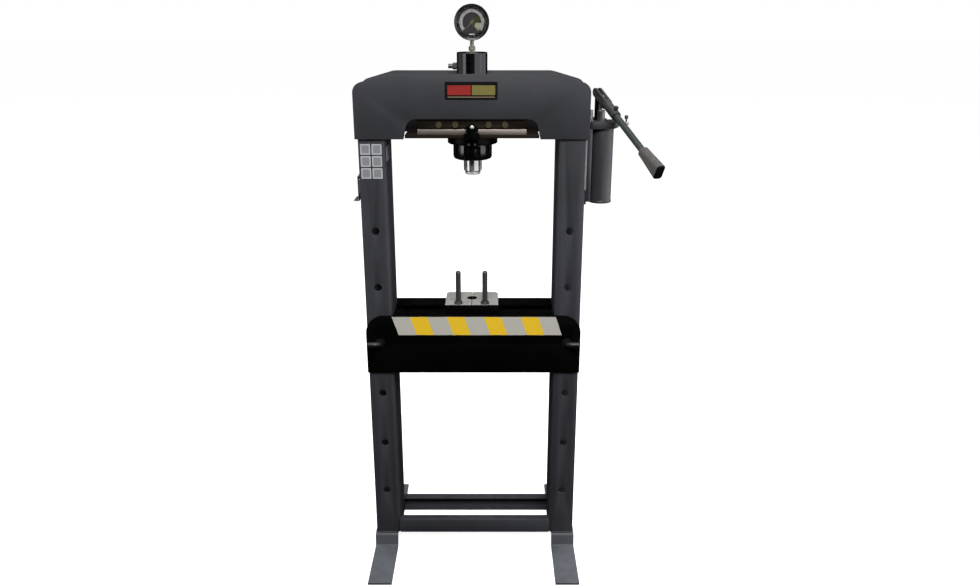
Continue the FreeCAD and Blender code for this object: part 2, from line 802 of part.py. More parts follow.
def build_ring_nut():
    """A round nut on the barrel above the carriage plate, with four spanner slots."""
    low, high = carriage_top, carriage_top + ring_height
    bore = barrel_across / 2 + seat_gap
    body = turned("ring_nut", [(bore, low), (ring_across / 2, low), (ring_across / 2, high), (bore, high)])
    soften(body, "Chamfer", rings_at(body.Shape, ring_across, high), edge_break)
    slot = pocket(body, "XY", low, high, lambda sketch: draw_corners(sketch, [
        (ring_across / 2 - ring_slot / 2, -ring_slot / 2), (ring_across / 2 + 1, -ring_slot / 2),
        (ring_across / 2 + 1, ring_slot / 2), (ring_across / 2 - ring_slot / 2, ring_slot / 2)]))
    round_pattern(body, slot, 4)


def build_gland_nut():
    """A deep cup nut that closes the cylinder's lower end and guides the ram."""
    inside = spigot_across / 2 + seat_gap
    guide = ram_across / 2 + shaft_gap
    floor_top = gland_bottom + gland_floor
    recess = ram_across / 2 + seal_wall
    reach = gland_across / 2
    body = turned("gland_nut", [
        (recess, gland_bottom), (reach - gland_round, gland_bottom),
        (reach - 0.3 * gland_round, gland_bottom + 0.3 * gland_round),
        (reach, gland_bottom + gland_round), (reach, flange_bottom),
        (inside, flange_bottom), (inside, floor_top), (guide, floor_top),
        (guide, gland_bottom + seal_height), (recess, gland_bottom + seal_height)])
    groove = pocket(body, "XY", gland_bottom, flange_bottom - edge_break * 2,
                    lambda sketch: draw_corners(sketch, [
                        (reach - gland_groove_depth, -gland_groove / 2), (reach + 1, -gland_groove / 2),
                        (reach + 1, gland_groove / 2), (reach - gland_groove_depth, gland_groove / 2)]))
    round_pattern(body, groove, gland_groove_count)


def build_ram():
    """The ram, hollow for its return spring, with piston, seals and pressing cap."""
    radius, bore = ram_across / 2, ram_bore / 2
    stem = cap_stem / 2 + seat_gap
    stem_top = ram_bottom + ram_floor / 2
    body = turned("ram", [
        (stem, ram_bottom), (radius - edge_break, ram_bottom), (radius, ram_bottom + edge_break),
        (radius, piston_bottom), (bore, piston_bottom), (bore, ram_bottom + ram_floor),
        (0, ram_bottom + ram_floor), (0, stem_top), (stem, stem_top)])
    piston = cylinder_bore / 2 - shaft_gap
    groove = piston - seal_wall
    middle = (piston_top + piston_bottom) / 2
    turned("piston", [
        (bore, piston_bottom), (piston, piston_bottom), (piston, middle - seal_height / 2),
        (groove, middle - seal_height / 2), (groove, middle + seal_height / 2),
        (piston, middle + seal_height / 2), (piston, piston_top), (bore, piston_top)])
    turned("piston_seal", [
        (groove, middle - seal_height / 2), (piston, middle - seal_height / 2),
        (piston, middle + seal_height / 2), (groove, middle + seal_height / 2)])
    cap = cap_across / 2
    turned("pressing_cap", [
        (0, cap_bottom), (cap - edge_break, cap_bottom), (cap, cap_bottom + edge_break),
        (cap, ram_bottom), (cap_stem / 2, ram_bottom), (cap_stem / 2, stem_top - 1), (0, stem_top - 1)])


def build_wiper():
    """The wiper ring in the gland nut's lower recess."""
    inner = ram_across / 2 + shaft_gap
    outer = ram_across / 2 + seal_wall
    turned("ram_wiper", [(inner, gland_bottom), (outer, gland_bottom),
                         (outer, gland_bottom + seal_height), (inner, gland_bottom + seal_height)])


def build_connection(name, x, y, z, facing, rise):
    """A hose connection: thread in the port, hexagon, and a nipple with its bore."""
    body = new_body(name)
    pad(body, "XY", -port_depth, 0, lambda sketch: draw_circle(sketch, 0, 0, port_across - 2 * seat_gap))
    pad(body, "XY", 0, fitting_hex, lambda sketch: draw_hexagon(sketch, fitting_flats))
    pad(body, "XY", fitting_hex, rise, lambda sketch: draw_circle(sketch, 0, 0, fitting_nipple))
    drill(body, "XY", fitting_hex, rise, 0, 0, fitting_bore)
    place(body, x, y, z, facing)


build_carriage_plate()
build_cylinder()
build_ring_nut()
build_gland_nut()
build_wiper()
build_ram()
build_connection("cylinder_connection", -barrel_across / 2, 0, port_level, "left", fitting_length)


# ---------------------------------------------------------------- carriage lock

def build_lock():
    """A bracket under the cylinder's flange holds a screw that bears on the slide plate's edge."""
    face = frame_front + lock_stand
    front = face + lock_wall
    foot = flange_bottom - lock_wall
    body = prism("lock_bracket", "YZ", -lock_half, lock_half, [
        (-front, foot), (-(gland_across / 2 + edge_break), foot),
        (-(gland_across / 2 + edge_break), flange_bottom), (-face, flange_bottom),
        (-face, lock_level + lock_rise), (-front, lock_level + lock_rise)])
    drill(body, "XZ", -front, -face, 0, lock_level, lock_stud + 2 * shaft_gap)
    fillet_along(body, "y", [(-lock_half, lock_level + lock_rise), (lock_half, lock_level + lock_rise)],
                 lock_half / 2)
    knob = new_body("lock_knob")
    pad(knob, "XY", 0, knob_depth, lambda sketch: draw_circle(sketch, 0, 0, knob_hub))
    lobe = pad(knob, "XY", 0, knob_depth, lambda sketch: draw_circle(sketch, 0, knob_circle, knob_lobe))
    round_pattern(knob, lobe, 3)
    reach = lock_stand + lock_wall + edge_break
    pad(knob, "XY", -(reach - pin_stand), 0, lambda sketch: draw_circle(sketch, 0, 0, lock_stud))
    place(knob, 0, -(front + edge_break), lock_level, "front")


build_lock()


# ---------------------------------------------------------------- pressure gauge

def build_gauge():
    """A dial gauge: case, bezel, glass, dial and needle, on a stem screwed into the cylinder."""
    back = gauge_depth / 3
    rim = gauge_across / 2
    case = rim - gauge_wall
    inside = case - gauge_wall
    bezel_back = gauge_depth - gauge_bezel_height
    glass_back = gauge_depth - gauge_wall - gauge_glass_wall
    body = turned("gauge_case", [
        (0, 0), (case - 3 * gauge_wall, 0), (case, 3 * gauge_wall), (case, glass_back),
        (inside, glass_back), (inside, 3 * gauge_wall), (inside - 2 * gauge_wall, gauge_wall),
        (0, gauge_wall)])
    drill(body, "XZ", -rim, -(inside - 3 * gauge_wall), 0, back, gauge_stem + 2 * seat_gap)
    place(body, 0, back, gauge_level, "front")

    opening = rim - gauge_bezel_lip
    bezel = turned("gauge_bezel", [
        (case + seat_gap, bezel_back), (rim, bezel_back), (rim, gauge_depth - gauge_wall / 2),
        (rim - gauge_wall / 2, gauge_depth), (opening, gauge_depth - gauge_wall / 2),
        (opening, gauge_depth - gauge_wall), (case + seat_gap, gauge_depth - gauge_wall)])
    place(bezel, 0, back, gauge_level, "front")

    glass = turned("gauge_glass", [
        (0, glass_back), (case, glass_back), (case, glass_back + gauge_glass_wall),
        (0, glass_back + gauge_glass_wall)])
    place(glass, 0, back, gauge_level, "front")

    spindle = needle_spindle / 2
    dial = turned("gauge_dial", [
        (spindle + shaft_gap, gauge_dial_level), (inside - seat_gap, gauge_dial_level),
        (inside - seat_gap, gauge_dial_level + gauge_dial_wall),
        (spindle + shaft_gap, gauge_dial_level + gauge_dial_wall)])
    place(dial, 0, back, gauge_level, "front")

    lift = gauge_dial_level + gauge_dial_wall + needle_wall
    needle = new_body("gauge_needle")
    pad(needle, "XY", lift, lift + needle_wall, lambda sketch: draw_corners(sketch, [
        (needle_length, 0), (0, needle_width / 2), (-needle_tail, needle_width / 4),
        (-needle_tail, -needle_width / 4), (0, -needle_width / 2)]))
    pad(needle, "XY", lift, lift + 2 * needle_wall, lambda sketch: draw_circle(sketch, 0, 0, needle_hub))
    pad(needle, "XY", gauge_wall, lift, lambda sketch: draw_circle(sketch, 0, 0, needle_spindle))
    place(needle, 0, back, gauge_level, "front")
    needle.Placement.Rotation = FACING["front"] * Rotation(Vector(0, 0, 1), needle_angle.number)

    stem = new_body("gauge_stem")
    low = cylinder_top - port_depth
    hexagon_low = cylinder_top + 2 * edge_break
    pad(stem, "XY", low, cylinder_top, lambda sketch: draw_circle(sketch, 0, 0, port_across - 2 * seat_gap))
    pad(stem, "XY", cylinder_top, gauge_level - inside,
        lambda sketch: draw_circle(sketch, 0, 0, gauge_stem))
    pad(stem, "XY", hexagon_low, hexagon_low + fitting_hex,
        lambda sketch: draw_hexagon(sketch, gauge_stem_flats))


build_gauge()


# ---------------------------------------------------------------- bed

def build_bed_rail(side, name):
    """A web plate outside the uprights with two flanges that reach in between them."""
    inner = side * frame_front
    outer = side * (frame_front + bed_wall)
    lip = side * bed_gap / 2
    ends = web_face - bed_play
    body = prism(name, "XZ", inner, outer, [
        (-bed_half, bed_bottom), (bed_half, bed_bottom), (bed_half, bed_top), (-bed_half, bed_top)])
    fillet_along(body, "y", [(-bed_half, bed_top), (bed_half, bed_top)], bed_corner)
    for low in (bed_bottom, bed_top - bed_wall):
        pad(body, "XY", low, low + bed_wall, lambda sketch: draw_corners(sketch, [
            (-ends, inner), (ends, inner), (ends, lip), (-ends, lip)]))
    fillet_along(body, "x", [(inner, bed_bottom + bed_wall), (inner, bed_top - bed_wall)], bed_bend)
    pocket(body, "XZ", inner, outer, lambda sketch: [
        draw_circle(sketch, n * pin_column, pin_level, pin_hole) for n in (-1, 1)])


def build_bed_ties():
    """Two plates welded across the inside of the rails near their ends."""
    plates = []
    room = bed_bend + seat_gap
    for side in (-1, 1):
        plate = DOC.addObject("PartDesign::Body", "bed_tie_body")
        far = side * (web_face - bed_play - tie_inset)
        low, high = bed_bottom + bed_wall, bed_top - bed_wall
        pad(plate, "YZ", far, far - side * bed_wall, lambda sketch: draw_corners(sketch, [
            (-frame_front, low + room), (-frame_front + room, low), (frame_front - room, low),
            (frame_front, low + room), (frame_front, high - room), (frame_front - room, high),
            (-frame_front + room, high), (-frame_front, high - room)]))
        plates.append(plate)
    group("bed_ties", plates)


def build_bed_pin(side, name):
    """A pin through both rails and the upright; its front end is bent outwards as a handle."""
    x = side * pin_column
    collar = frame_front + bed_wall + pin_stand
    elbow = collar + pin_collar_height
    tail = frame_front + bed_wall + pin_tail
    shank = turned("pin_shank", [
        (0, 0), (pin_collar / 2, 0), (pin_collar / 2, pin_collar_height), (pin_across / 2, pin_collar_height),
        (pin_across / 2, elbow + tail - 2 * edge_break), (pin_across / 2 - 2 * edge_break, elbow + tail),
        (0, elbow + tail)])
    PARTS.remove(shank)
    place(shank, x, -elbow, pin_level, "back")
    bend = DOC.addObject("Part::Torus", "pin_bend")
    bind(bend, "Radius1", pin_elbow)
    bind(bend, "Radius2", pin_handle / 2)
    bend.Angle3 = 90
    place(bend, x + side * pin_elbow, -elbow, pin_level)
    bend.Placement.Rotation = Rotation(Vector(0, 0, 1), 180 if side > 0 else -90)
    handle = cylinder(pin_handle, pin_handle_reach - pin_elbow, x + side * pin_elbow, -(elbow + pin_elbow),
                      pin_level, "right" if side > 0 else "left")
    fuse(name, [shank, bend, handle])


def build_arbor_plate(side, name):
    """One of the pair of steel plates on the bed; their half-round notches face each other."""
    seam = arbor_shift + side * arbor_seam / 2
    far = seam + side * arbor_across
    front, back = -arbor_front - arbor_depth / 2, arbor_depth / 2 - arbor_front
    cut = side * arbor_chamfer
    body = prism(name, "XY", bed_top, bed_top + arbor_wall, [
        (seam, front), (far, front), (far, back - arbor_chamfer), (far - cut, back), (seam, back)])
    drill(body, "XY", bed_top, bed_top + arbor_wall, arbor_shift, arbor_hole_back - arbor_front, arbor_hole)
    drill(body, "XY", bed_top + arbor_wall - arbor_rod_depth, bed_top + arbor_wall,
          arbor_shift + side * arbor_rod_inset, front + arbor_rod_front, arbor_rod + 2 * seat_gap)


def build_arbor_rod(side, name):
    """A rod screwed upright into an arbor plate, with a collar at its foot."""
    radius = arbor_rod / 2
    body = turned(name, [
        (0, -arbor_rod_depth), (radius, -arbor_rod_depth), (radius, 0), (arbor_rod_collar / 2, 0),
        (arbor_rod_collar / 2, arbor_rod_collar_height - edge_break),
        (arbor_rod_collar / 2 - edge_break, arbor_rod_collar_height), (radius, arbor_rod_collar_height),
        (radius, arbor_rod_rise - 2 * edge_break), (radius - 1.5 * edge_break, arbor_rod_rise),
        (0, arbor_rod_rise)])
    place(body, arbor_shift + side * arbor_rod_inset,
          arbor_rod_front - arbor_front - arbor_depth / 2, bed_top + arbor_wall)


build_bed_rail(-1, "front_bed_rail")
build_bed_rail(1, "rear_bed_rail")
build_bed_ties()
build_bed_pin(-1, "left_bed_pin")
build_bed_pin(1, "right_bed_pin")
build_arbor_plate(-1, "left_arbor_plate")
build_arbor_plate(1, "right_arbor_plate")
build_arbor_rod(-1, "left_arbor_rod")
build_arbor_rod(1, "right_arbor_rod")


# ---------------------------------------------------------------- pump

def build_pump_bracket():
    """A hat-shaped sheet across the upright's open side that holds the pump away from it."""
    crown = pump_axis - tank_across / 2 - sliding_gap
    brim, b, w = half_width, bracket_half, bracket_wall
    body = prism("pump_bracket", "XY", bracket_bottom, pump_base, [
        (brim, -frame_front), (brim + w, -frame_front), (brim + w, -b), (crown, -b), (crown, b),
        (brim + w, b), (brim + w, frame_front), (brim, frame_front), (brim, b - w), (crown - w, b - w),
        (crown - w, w - b), (brim, w - b)])
    fillet_along(body, "z", [(crown, -b), (crown, b)], bracket_bend + w)
    fillet_along(body, "z", [(crown - w, w - b), (crown - w, b - w),
                             (brim + w, -b), (brim + w, b)], bracket_bend)


def build_tank():
    """The tubular oil reservoir with a rolled lower rim, closed above by the pump head."""
    radius = tank_across / 2
    floor = tank_bottom + 2 * tank_wall
    body = turned("oil_tank", [
        (0, floor - tank_wall), (radius - tank_wall, floor - tank_wall), (radius - tank_wall, tank_bottom),
        (radius + tank_rim_wall, tank_bottom), (radius + tank_rim_wall, tank_bottom + tank_rim),
        (radius, tank_bottom + tank_rim + tank_rim_wall), (radius, pump_base),
        (radius - tank_wall, pump_base), (radius - tank_wall, floor), (0, floor)])
    place(body, pump_axis, 0, 0)


def build_pump_head():
    """The block on the tank with the bores of the barrel, the outlet and the release valve."""
    body = prism("pump_head", "XY", pump_base, pump_top, [
        (pump_left, -pump_half_depth), (pump_right, -pump_half_depth),
        (pump_right, pump_half_depth), (pump_left, pump_half_depth)])
    fillet_along(body, "z", [(x, y) for x in (pump_left, pump_right)
                             for y in (-pump_half_depth, pump_half_depth)], pump_corner)
    pocket(body, "XZ", -pump_half_depth - 1, pump_half_depth + 1, lambda sketch: draw_corners(sketch, [
        (pump_right - pump_nose, pump_base), (pump_right + 1, pump_base - 1),
        (pump_right + 1, pump_base + pump_nose_rise), (pump_right, pump_base + pump_nose_rise)]))
    drill(body, "XY", pump_top - plunger_sink - edge_break, pump_top, plunger_axis, 0,
          plunger_across + 2 * edge_break)
    drill(body, "XY", pump_top - sleeve_thread, pump_top, plunger_axis, 0, sleeve_across)
    drill(body, "XY", pump_top - port_depth - 1, pump_top, pump_left + outlet_inset, 0, port_across)
    drill(body, "YZ", pump_right - port_depth, pump_right, 0, pump_base + valve_rise,
          valve_spindle + 2 * shaft_gap)


def build_pump_barrel():
    """The plunger's guide, screwed into the pump head."""
    bore = plunger_across / 2 + shaft_gap
    outer = sleeve_across / 2
    top = pump_top + sleeve_height
    inside = outer - seat_gap
    body = turned("pump_barrel", [
        (bore, pump_top - sleeve_thread), (inside, pump_top - sleeve_thread), (inside, pump_top),
        (outer, pump_top), (outer, top - edge_break), (outer - edge_break, top), (bore, top)])
    place(body, plunger_axis, 0, 0)


def place_on_lever_line(body, along, level, tilt=0):
    """Moves a body to a point on the line of the lever, measured forwards from the plunger."""
    x = plunger_axis + along * cosine(lever_turn)
    y = along * sine(lever_turn)
    place(body, x, y, level)
    turn = Rotation(Vector(0, 0, 1), lever_turn.number)
    body.Placement.Rotation = turn * Rotation(Vector(0, 1, 0), sized(tilt).number)


def build_fulcrum():
    """The forged ear behind the plunger and the pin that the lever swings on."""
    radius = ear_half
    ear = new_body("fulcrum_ear")
    half = ear_wall / 2
    pad(ear, "XZ", -half, half, lambda sketch: draw_corners(sketch, [
        (-radius, 0), (radius, 0), (radius, fulcrum_rise), (-radius, fulcrum_rise)]))
    pad(ear, "XZ", -half, half, lambda sketch: draw_circle(sketch, 0, fulcrum_rise, 2 * radius))
    drill(ear, "XZ", -half, half, 0, fulcrum_rise, lever_pin + 2 * seat_gap)
    place_on_lever_line(ear, -fulcrum_back, pump_top)


def build_pin(name, along, level):
    """A plain pin across the fork, flush with its cheeks."""
    body = new_body(name)
    half = ear_wall / 2 + cheek_gap + cheek_wall
    pad(body, "XZ", -half, half, lambda sketch: draw_circle(sketch, 0, 0, lever_pin))
    place_on_lever_line(body, along, level)


def build_plunger():
    """The plunger with a flat tang that the fork straddles."""
    foot = pump_top - plunger_sink
    shoulder = plunger_pin_level - 2.6 * tang_half
    body = new_body("plunger")
    pad(body, "XY", foot - plunger_pin_level, shoulder - plunger_pin_level,
        lambda sketch: draw_circle(sketch, 0, 0, plunger_across))
    half = ear_wall / 2
    pad(body, "XZ", -half, half, lambda sketch: draw_corners(sketch, [
        (-tang_half, shoulder - plunger_pin_level), (tang_half, shoulder - plunger_pin_level),
        (tang_half, 0), (-tang_half, 0)]))
    pad(body, "XZ", -half, half, lambda sketch: draw_circle(sketch, 0, 0, 2 * tang_half))
    drill(body, "XZ", -half, half, 0, 0, lever_pin + 2 * seat_gap)
    place_on_lever_line(body, sized(0), plunger_pin_level)


def build_fork():
    """The lever's forked head: two cheeks on the pins, and a socket for the handle rod."""
    body = new_body("lever_fork")
    throat = ear_wall / 2 + cheek_gap
    half = throat + cheek_wall
    pad(body, "XZ", -half, half, lambda sketch: draw_corners(sketch, [
        (0, -fork_half), (fork_length, -fork_half), (fork_length, fork_half), (0, fork_half)]))
    pad(body, "XZ", -half, half, lambda sketch: draw_circle(sketch, 0, 0, 2 * fork_half))
    pad(body, "YZ", fork_throat, socket_end, lambda sketch: draw_circle(sketch, 0, 0, socket_across))
    pocket(body, "XZ", -throat, throat, lambda sketch: draw_corners(sketch, [
        (-2 * fork_half, -2 * fork_half), (fork_throat, -2 * fork_half),
        (fork_throat, 2 * fork_half), (-2 * fork_half, 2 * fork_half)]))
    drill(body, "XZ", -half, half, 0, 0, lever_pin + 2 * shaft_gap)
    slot = lever_pin + 2 * slot_play
    pocket(body, "XZ", -half, half, lambda sketch: draw_corners(sketch, [
        (slot_start, -slot / 2), (slot_end, -slot / 2), (slot_end, slot / 2), (slot_start, slot / 2)]))
    for end in (slot_start, slot_end):
        drill(body, "XZ", -half, half, end, 0, slot)
    drill(body, "YZ", handle_start, socket_end, 0, 0, handle_across + 2 * seat_gap)
    drill(body, "XY", 0, socket_across, set_screw_place, 0, set_screw + 2 * seat_gap)
    place_on_lever_line(body, -fulcrum_back, fulcrum_level, lever_tilt)


def build_handle():
    """Handle rod, grip and set screw, in line with the fork."""
    rod = new_body("handle_rod")
    end = grip_end - grip_floor
    pad(rod, "YZ", handle_start, end, lambda sketch: draw_circle(sketch, 0, 0, handle_across))
    place_on_lever_line(rod, -fulcrum_back, fulcrum_level, lever_tilt)

    neck, palm = grip_neck / 2, grip_height / 2
    grip = prism("handle_grip", "XZ", -grip_width / 2, grip_width / 2, [
        (grip_start, -neck), (grip_end, -palm), (grip_end, palm), (grip_start, neck)])
    long_edges = [f"Edge{number}" for number, edge in enumerate(grip.Shape.Edges, 1)
                  if edge.Length > grip_end.number - grip_start.number - 1]
    soften(grip, "Fillet", long_edges, grip_round)
    soften(grip, "Fillet", end_edges(grip.Shape, grip_end), grip_round / 2)
    drill(grip, "YZ", grip_start, end, 0, 0, handle_across + 2 * seat_gap)
    place_on_lever_line(grip, -fulcrum_back, fulcrum_level, lever_tilt)

    screw = new_body("handle_set_screw")
    seat = handle_across / 2 + seat_gap
    top = socket_across / 2 + 1
    pad(screw, "XY", seat, top, lambda sketch: draw_circle(sketch, set_screw_place, 0, set_screw))
    pad(screw, "XY", top, top + set_screw,
        lambda sketch: draw_circle(sketch, set_screw_place, 0, set_screw_head))
    place_on_lever_line(screw, -fulcrum_back, fulcrum_level, lever_tilt)


def build_release_valve():
    """A boss on the pump head and a spindle that is turned by its cross bar."""
    level = pump_base + valve_rise
    bore = valve_spindle / 2 + shaft_gap
    boss = turned("valve_boss", [
        (bore, 0), (valve_boss / 2, 0), (valve_boss / 2, valve_boss_length - edge_break),
        (valve_boss / 2 - edge_break, valve_boss_length), (bore, valve_boss_length)])
    place(boss, pump_right, 0, level, "right")
    spindle = new_body("valve_spindle")
    pad(spindle, "XY", -(port_depth - 1), valve_spindle_reach,
        lambda sketch: draw_circle(sketch, 0, 0, valve_spindle))
    bar_place = valve_spindle_reach - valve_spindle
    drill(spindle, "YZ", -valve_spindle, valve_spindle, 0, bar_place, valve_bar + 2 * seat_gap)
    place(spindle, pump_right, 0, level, "right")
    x = pump_right + bar_place
    reach = valve_bar_half
    end = valve_knob / 2
    half_bar = [(valve_bar / 2, reach - end), (end - edge_break, reach - end), (end, reach - end + edge_break),
                (end, reach + end - edge_break), (end - edge_break, reach + end)]
    bar = turned("valve_cross_bar", [(0, -(reach + end))] + [(r, -z) for r, z in reversed(half_bar)]
                 + half_bar + [(0, reach + end)])
    place(bar, x, 0, level)


def build_filler_plug():
    """A low plug in the pump head, behind the barrel."""
    body = new_body("filler_plug")
    pad(body, "XY", 0, plug_height, lambda sketch: draw_circle(sketch, 0, 0, plug_across))
    pocket(body, "XY", plug_height / 2, plug_height,
           lambda sketch: draw_hexagon(sketch, plug_across / 2))
    place(body, pump_axis + plunger_shift, pump_half_depth - plug_across / 2 - plug_height, pump_top)


build_pump_bracket()
build_tank()
build_pump_head()
build_pump_barrel()
build_fulcrum()
build_pin("fulcrum_pin", -fulcrum_back, fulcrum_level)
build_plunger()
build_pin("plunger_pin", sized(0), plunger_pin_level)
build_fork()
build_handle()
build_release_valve()
build_filler_plug()
build_connection("pump_connection", pump_left + outlet_inset, 0, pump_top, "up", outlet_rise)


# ---------------------------------------------------------------- holder on the left upright

def build_holder():
    """A bent strip: a strap across the upright's open side, a face that stands off it and a ledge."""
    strap = -half_width
    face = -(half_width + holder_stand)
    top, w = holder_top, holder_wall
    low = holder_top - holder_height
    body = prism("tool_holder", "XZ", -holder_half, holder_half, [
        (strap, top), (face, top), (face, low + w), (face - holder_ledge, low + w),
        (face - holder_ledge, low), (face + w, low), (face + w, top - w), (strap - w, top - w),
        (strap - w, top - holder_strap), (strap, top - holder_strap)])
    fillet_along(body, "y", [(face, top)], 2 * w)
    pad(body, "YZ", strap - w, strap, lambda sketch: draw_corners(sketch, [
        (-frame_front, top - holder_strap), (frame_front, top - holder_strap),
        (frame_front, top - w), (-frame_front, top - w)]))


build_holder()


# ---------------------------------------------------------------- checks and files

DOC.recompute()
os.makedirs("parts", exist_ok=True)
for item in DOC.Objects:
    if "Invalid" in item.State or "Error" in item.State:
        raise RuntimeError(f"{item.Name} ({item.Label}) failed: {item.State}")
for item in PARTS:
    if item.Shape.isNull() or not item.Shape.isValid() or not item.Shape.Solids:
        raise RuntimeError(f"{item.Label} has no valid shape")
for item in PARTS:
    item.Shape.exportStep(os.path.join("parts", item.Label + ".step"))
print(len(PARTS), "sub-parts written")
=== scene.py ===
import json
import math

import bmesh
import bpy
from mathutils import Euler, Matrix, Vector


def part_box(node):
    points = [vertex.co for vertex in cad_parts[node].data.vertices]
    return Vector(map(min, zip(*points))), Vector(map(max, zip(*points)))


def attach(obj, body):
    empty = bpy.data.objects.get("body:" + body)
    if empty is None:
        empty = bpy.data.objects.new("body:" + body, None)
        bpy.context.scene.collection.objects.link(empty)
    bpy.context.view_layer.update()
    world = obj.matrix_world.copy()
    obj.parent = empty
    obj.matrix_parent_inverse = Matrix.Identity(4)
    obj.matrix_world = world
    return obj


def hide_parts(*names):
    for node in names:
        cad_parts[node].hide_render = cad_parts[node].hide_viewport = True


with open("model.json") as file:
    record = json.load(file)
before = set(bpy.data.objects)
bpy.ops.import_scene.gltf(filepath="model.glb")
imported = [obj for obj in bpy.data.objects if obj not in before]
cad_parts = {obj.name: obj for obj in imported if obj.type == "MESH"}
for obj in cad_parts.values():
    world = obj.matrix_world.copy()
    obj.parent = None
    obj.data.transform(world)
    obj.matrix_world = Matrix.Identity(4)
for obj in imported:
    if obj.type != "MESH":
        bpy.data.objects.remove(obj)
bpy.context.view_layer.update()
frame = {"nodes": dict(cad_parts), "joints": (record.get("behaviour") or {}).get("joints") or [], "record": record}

# The workshop press dressed for the camera: painted and machined finishes, worked edges, weld beads,
# the printed dial, the striped band on the bed and the small screws.
# Everything is in metres in the part's own frame: X to the pump side, Y to the back, Z up.

MM = 0.001


# ---------------------------------------------------------------- node trees

class Wire:
    """One output in a node tree; arithmetic on it adds Math nodes beside it."""

    def __init__(self, builder, socket):
        self.builder = builder
        self.socket = socket

    def __getitem__(self, name):
        return Wire(self.builder, self.socket.node.outputs[name])

    def maths(self, operation, *others):
        return self.builder.maths(operation, self, *others)

    def __add__(self, other):
        return self.maths("ADD", other)

    def __sub__(self, other):
        return self.maths("SUBTRACT", other)

    def __rsub__(self, other):
        return self.builder.maths("SUBTRACT", other, self)

    def __mul__(self, other):
        return self.maths("MULTIPLY", other)

    def __truediv__(self, other):
        return self.maths("DIVIDE", other)

    def __rtruediv__(self, other):
        return self.builder.maths("DIVIDE", other, self)

    def __gt__(self, other):
        return self.maths("GREATER_THAN", other)

    def __lt__(self, other):
        return self.maths("LESS_THAN", other)

    def __abs__(self):
        return self.maths("ABSOLUTE")

    __radd__ = __add__
    __rmul__ = __mul__


class Builder:
    """Adds nodes to a tree: settings first, then the values or wires of the sockets in use."""

    def __init__(self, tree):
        self.tree = tree

    def node(self, kind, settings=None, *values, **named):
        made = self.tree.nodes.new(kind)
        for name, value in (settings or {}).items():
            setattr(made, name, value)
        sockets = [socket for socket in made.inputs if socket.enabled]
        for socket, value in zip(sockets, values):
            self.feed(socket, value)
        for name, value in named.items():
            wanted = name.replace("_", " ")
            self.feed(next(socket for socket in sockets if socket.name == wanted), value)
        return Wire(self, next(socket for socket in made.outputs if socket.enabled))

    def maths(self, operation, *values):
        return self.node("ShaderNodeMath", {"operation": operation}, *values)

    def feed(self, socket, value):
        if isinstance(value, Wire):
            self.tree.links.new(value.socket, socket)
        elif isinstance(value, tuple) and socket.type == "RGBA":
            socket.default_value = (*value[:3], 1)
        else:
            socket.default_value = value


class Finish(Builder):
    """A surface finish: one Principled shader and the pattern nodes that feed it."""

    def __init__(self, name, **constants):
        self.material = bpy.data.materials.new(name)
        self.material.use_nodes = True
        super().__init__(self.material.node_tree)
        self.shader = self.tree.nodes["Principled BSDF"]
        self.place = self.node("ShaderNodeTexCoord")["Object"]
        self.give(**constants)

    def give(self, **sockets):
        for name, value in sockets.items():
            self.feed(self.shader.inputs[name.replace("_", " ")], value)
        return self

    def stretched(self, stretch):
        """The object's own coordinates, each times a number of its own."""
        return self.node("ShaderNodeVectorMath", {"operation": "MULTIPLY"}, self.place, stretch)

    def measured_from(self, start):
        """The way from a start to each point of the surface."""
        return self.node("ShaderNodeVectorMath", {"operation": "SUBTRACT"}, self.place, start)

    def across(self, centre=(0, 0, 0)):
        """The three coordinates measured from a centre."""
        return self.node("ShaderNodeSeparateXYZ", {}, self.measured_from(centre))

    def along(self, start, direction):
        """How far a point lies from the start along a direction."""
        way = self.measured_from(start)
        return self.node("ShaderNodeVectorMath", {"operation": "DOT_PRODUCT"}, way, direction)

    def noise(self, scale, detail=3.0, roughness=0.5, stretch=(1, 1, 1)):
        return self.node("ShaderNodeTexNoise", {}, Vector=self.stretched(stretch), Scale=scale,
                         Detail=detail, Roughness=roughness)

    def grains(self, scale):
        return self.node("ShaderNodeTexVoronoi", {}, Vector=self.place, Scale=scale)

    def tool_marks(self, grain):
        """Fine lines left by a tool; the grain says how fast they change along each axis."""
        return self.noise(1, 3, 0.6, grain)

    def ramp(self, value, low, high):
        """0 below low, 1 above high and a straight line between."""
        return self.node("ShaderNodeMapRange", {"clamp": True}, value, low, high, 0.0, 1.0)

    def within(self, value, low, high):
        """1 between two limits and 0 outside them."""
        return (value > low) * (value < high)

    def blend(self, low, high, share):
        """From one colour to another by a share."""
        return self.node("ShaderNodeMix", {"data_type": "RGBA"}, share, low, high)

    def level(self, low, high, share):
        """From one number to another by a share."""
        return low + (high - low) * share

    def upward(self):
        """1 on faces that look up, 0 on upright ones."""
        normal = self.node("ShaderNodeNewGeometry")["Normal"]
        return self.ramp(self.node("ShaderNodeSeparateXYZ", {}, normal)["Z"], 0.6, 0.95)

    def bump(self, height, depth, strength=1.0):
        return self.give(Normal=self.node("ShaderNodeBump", {}, Strength=strength, Distance=depth,
                                          Height=height))


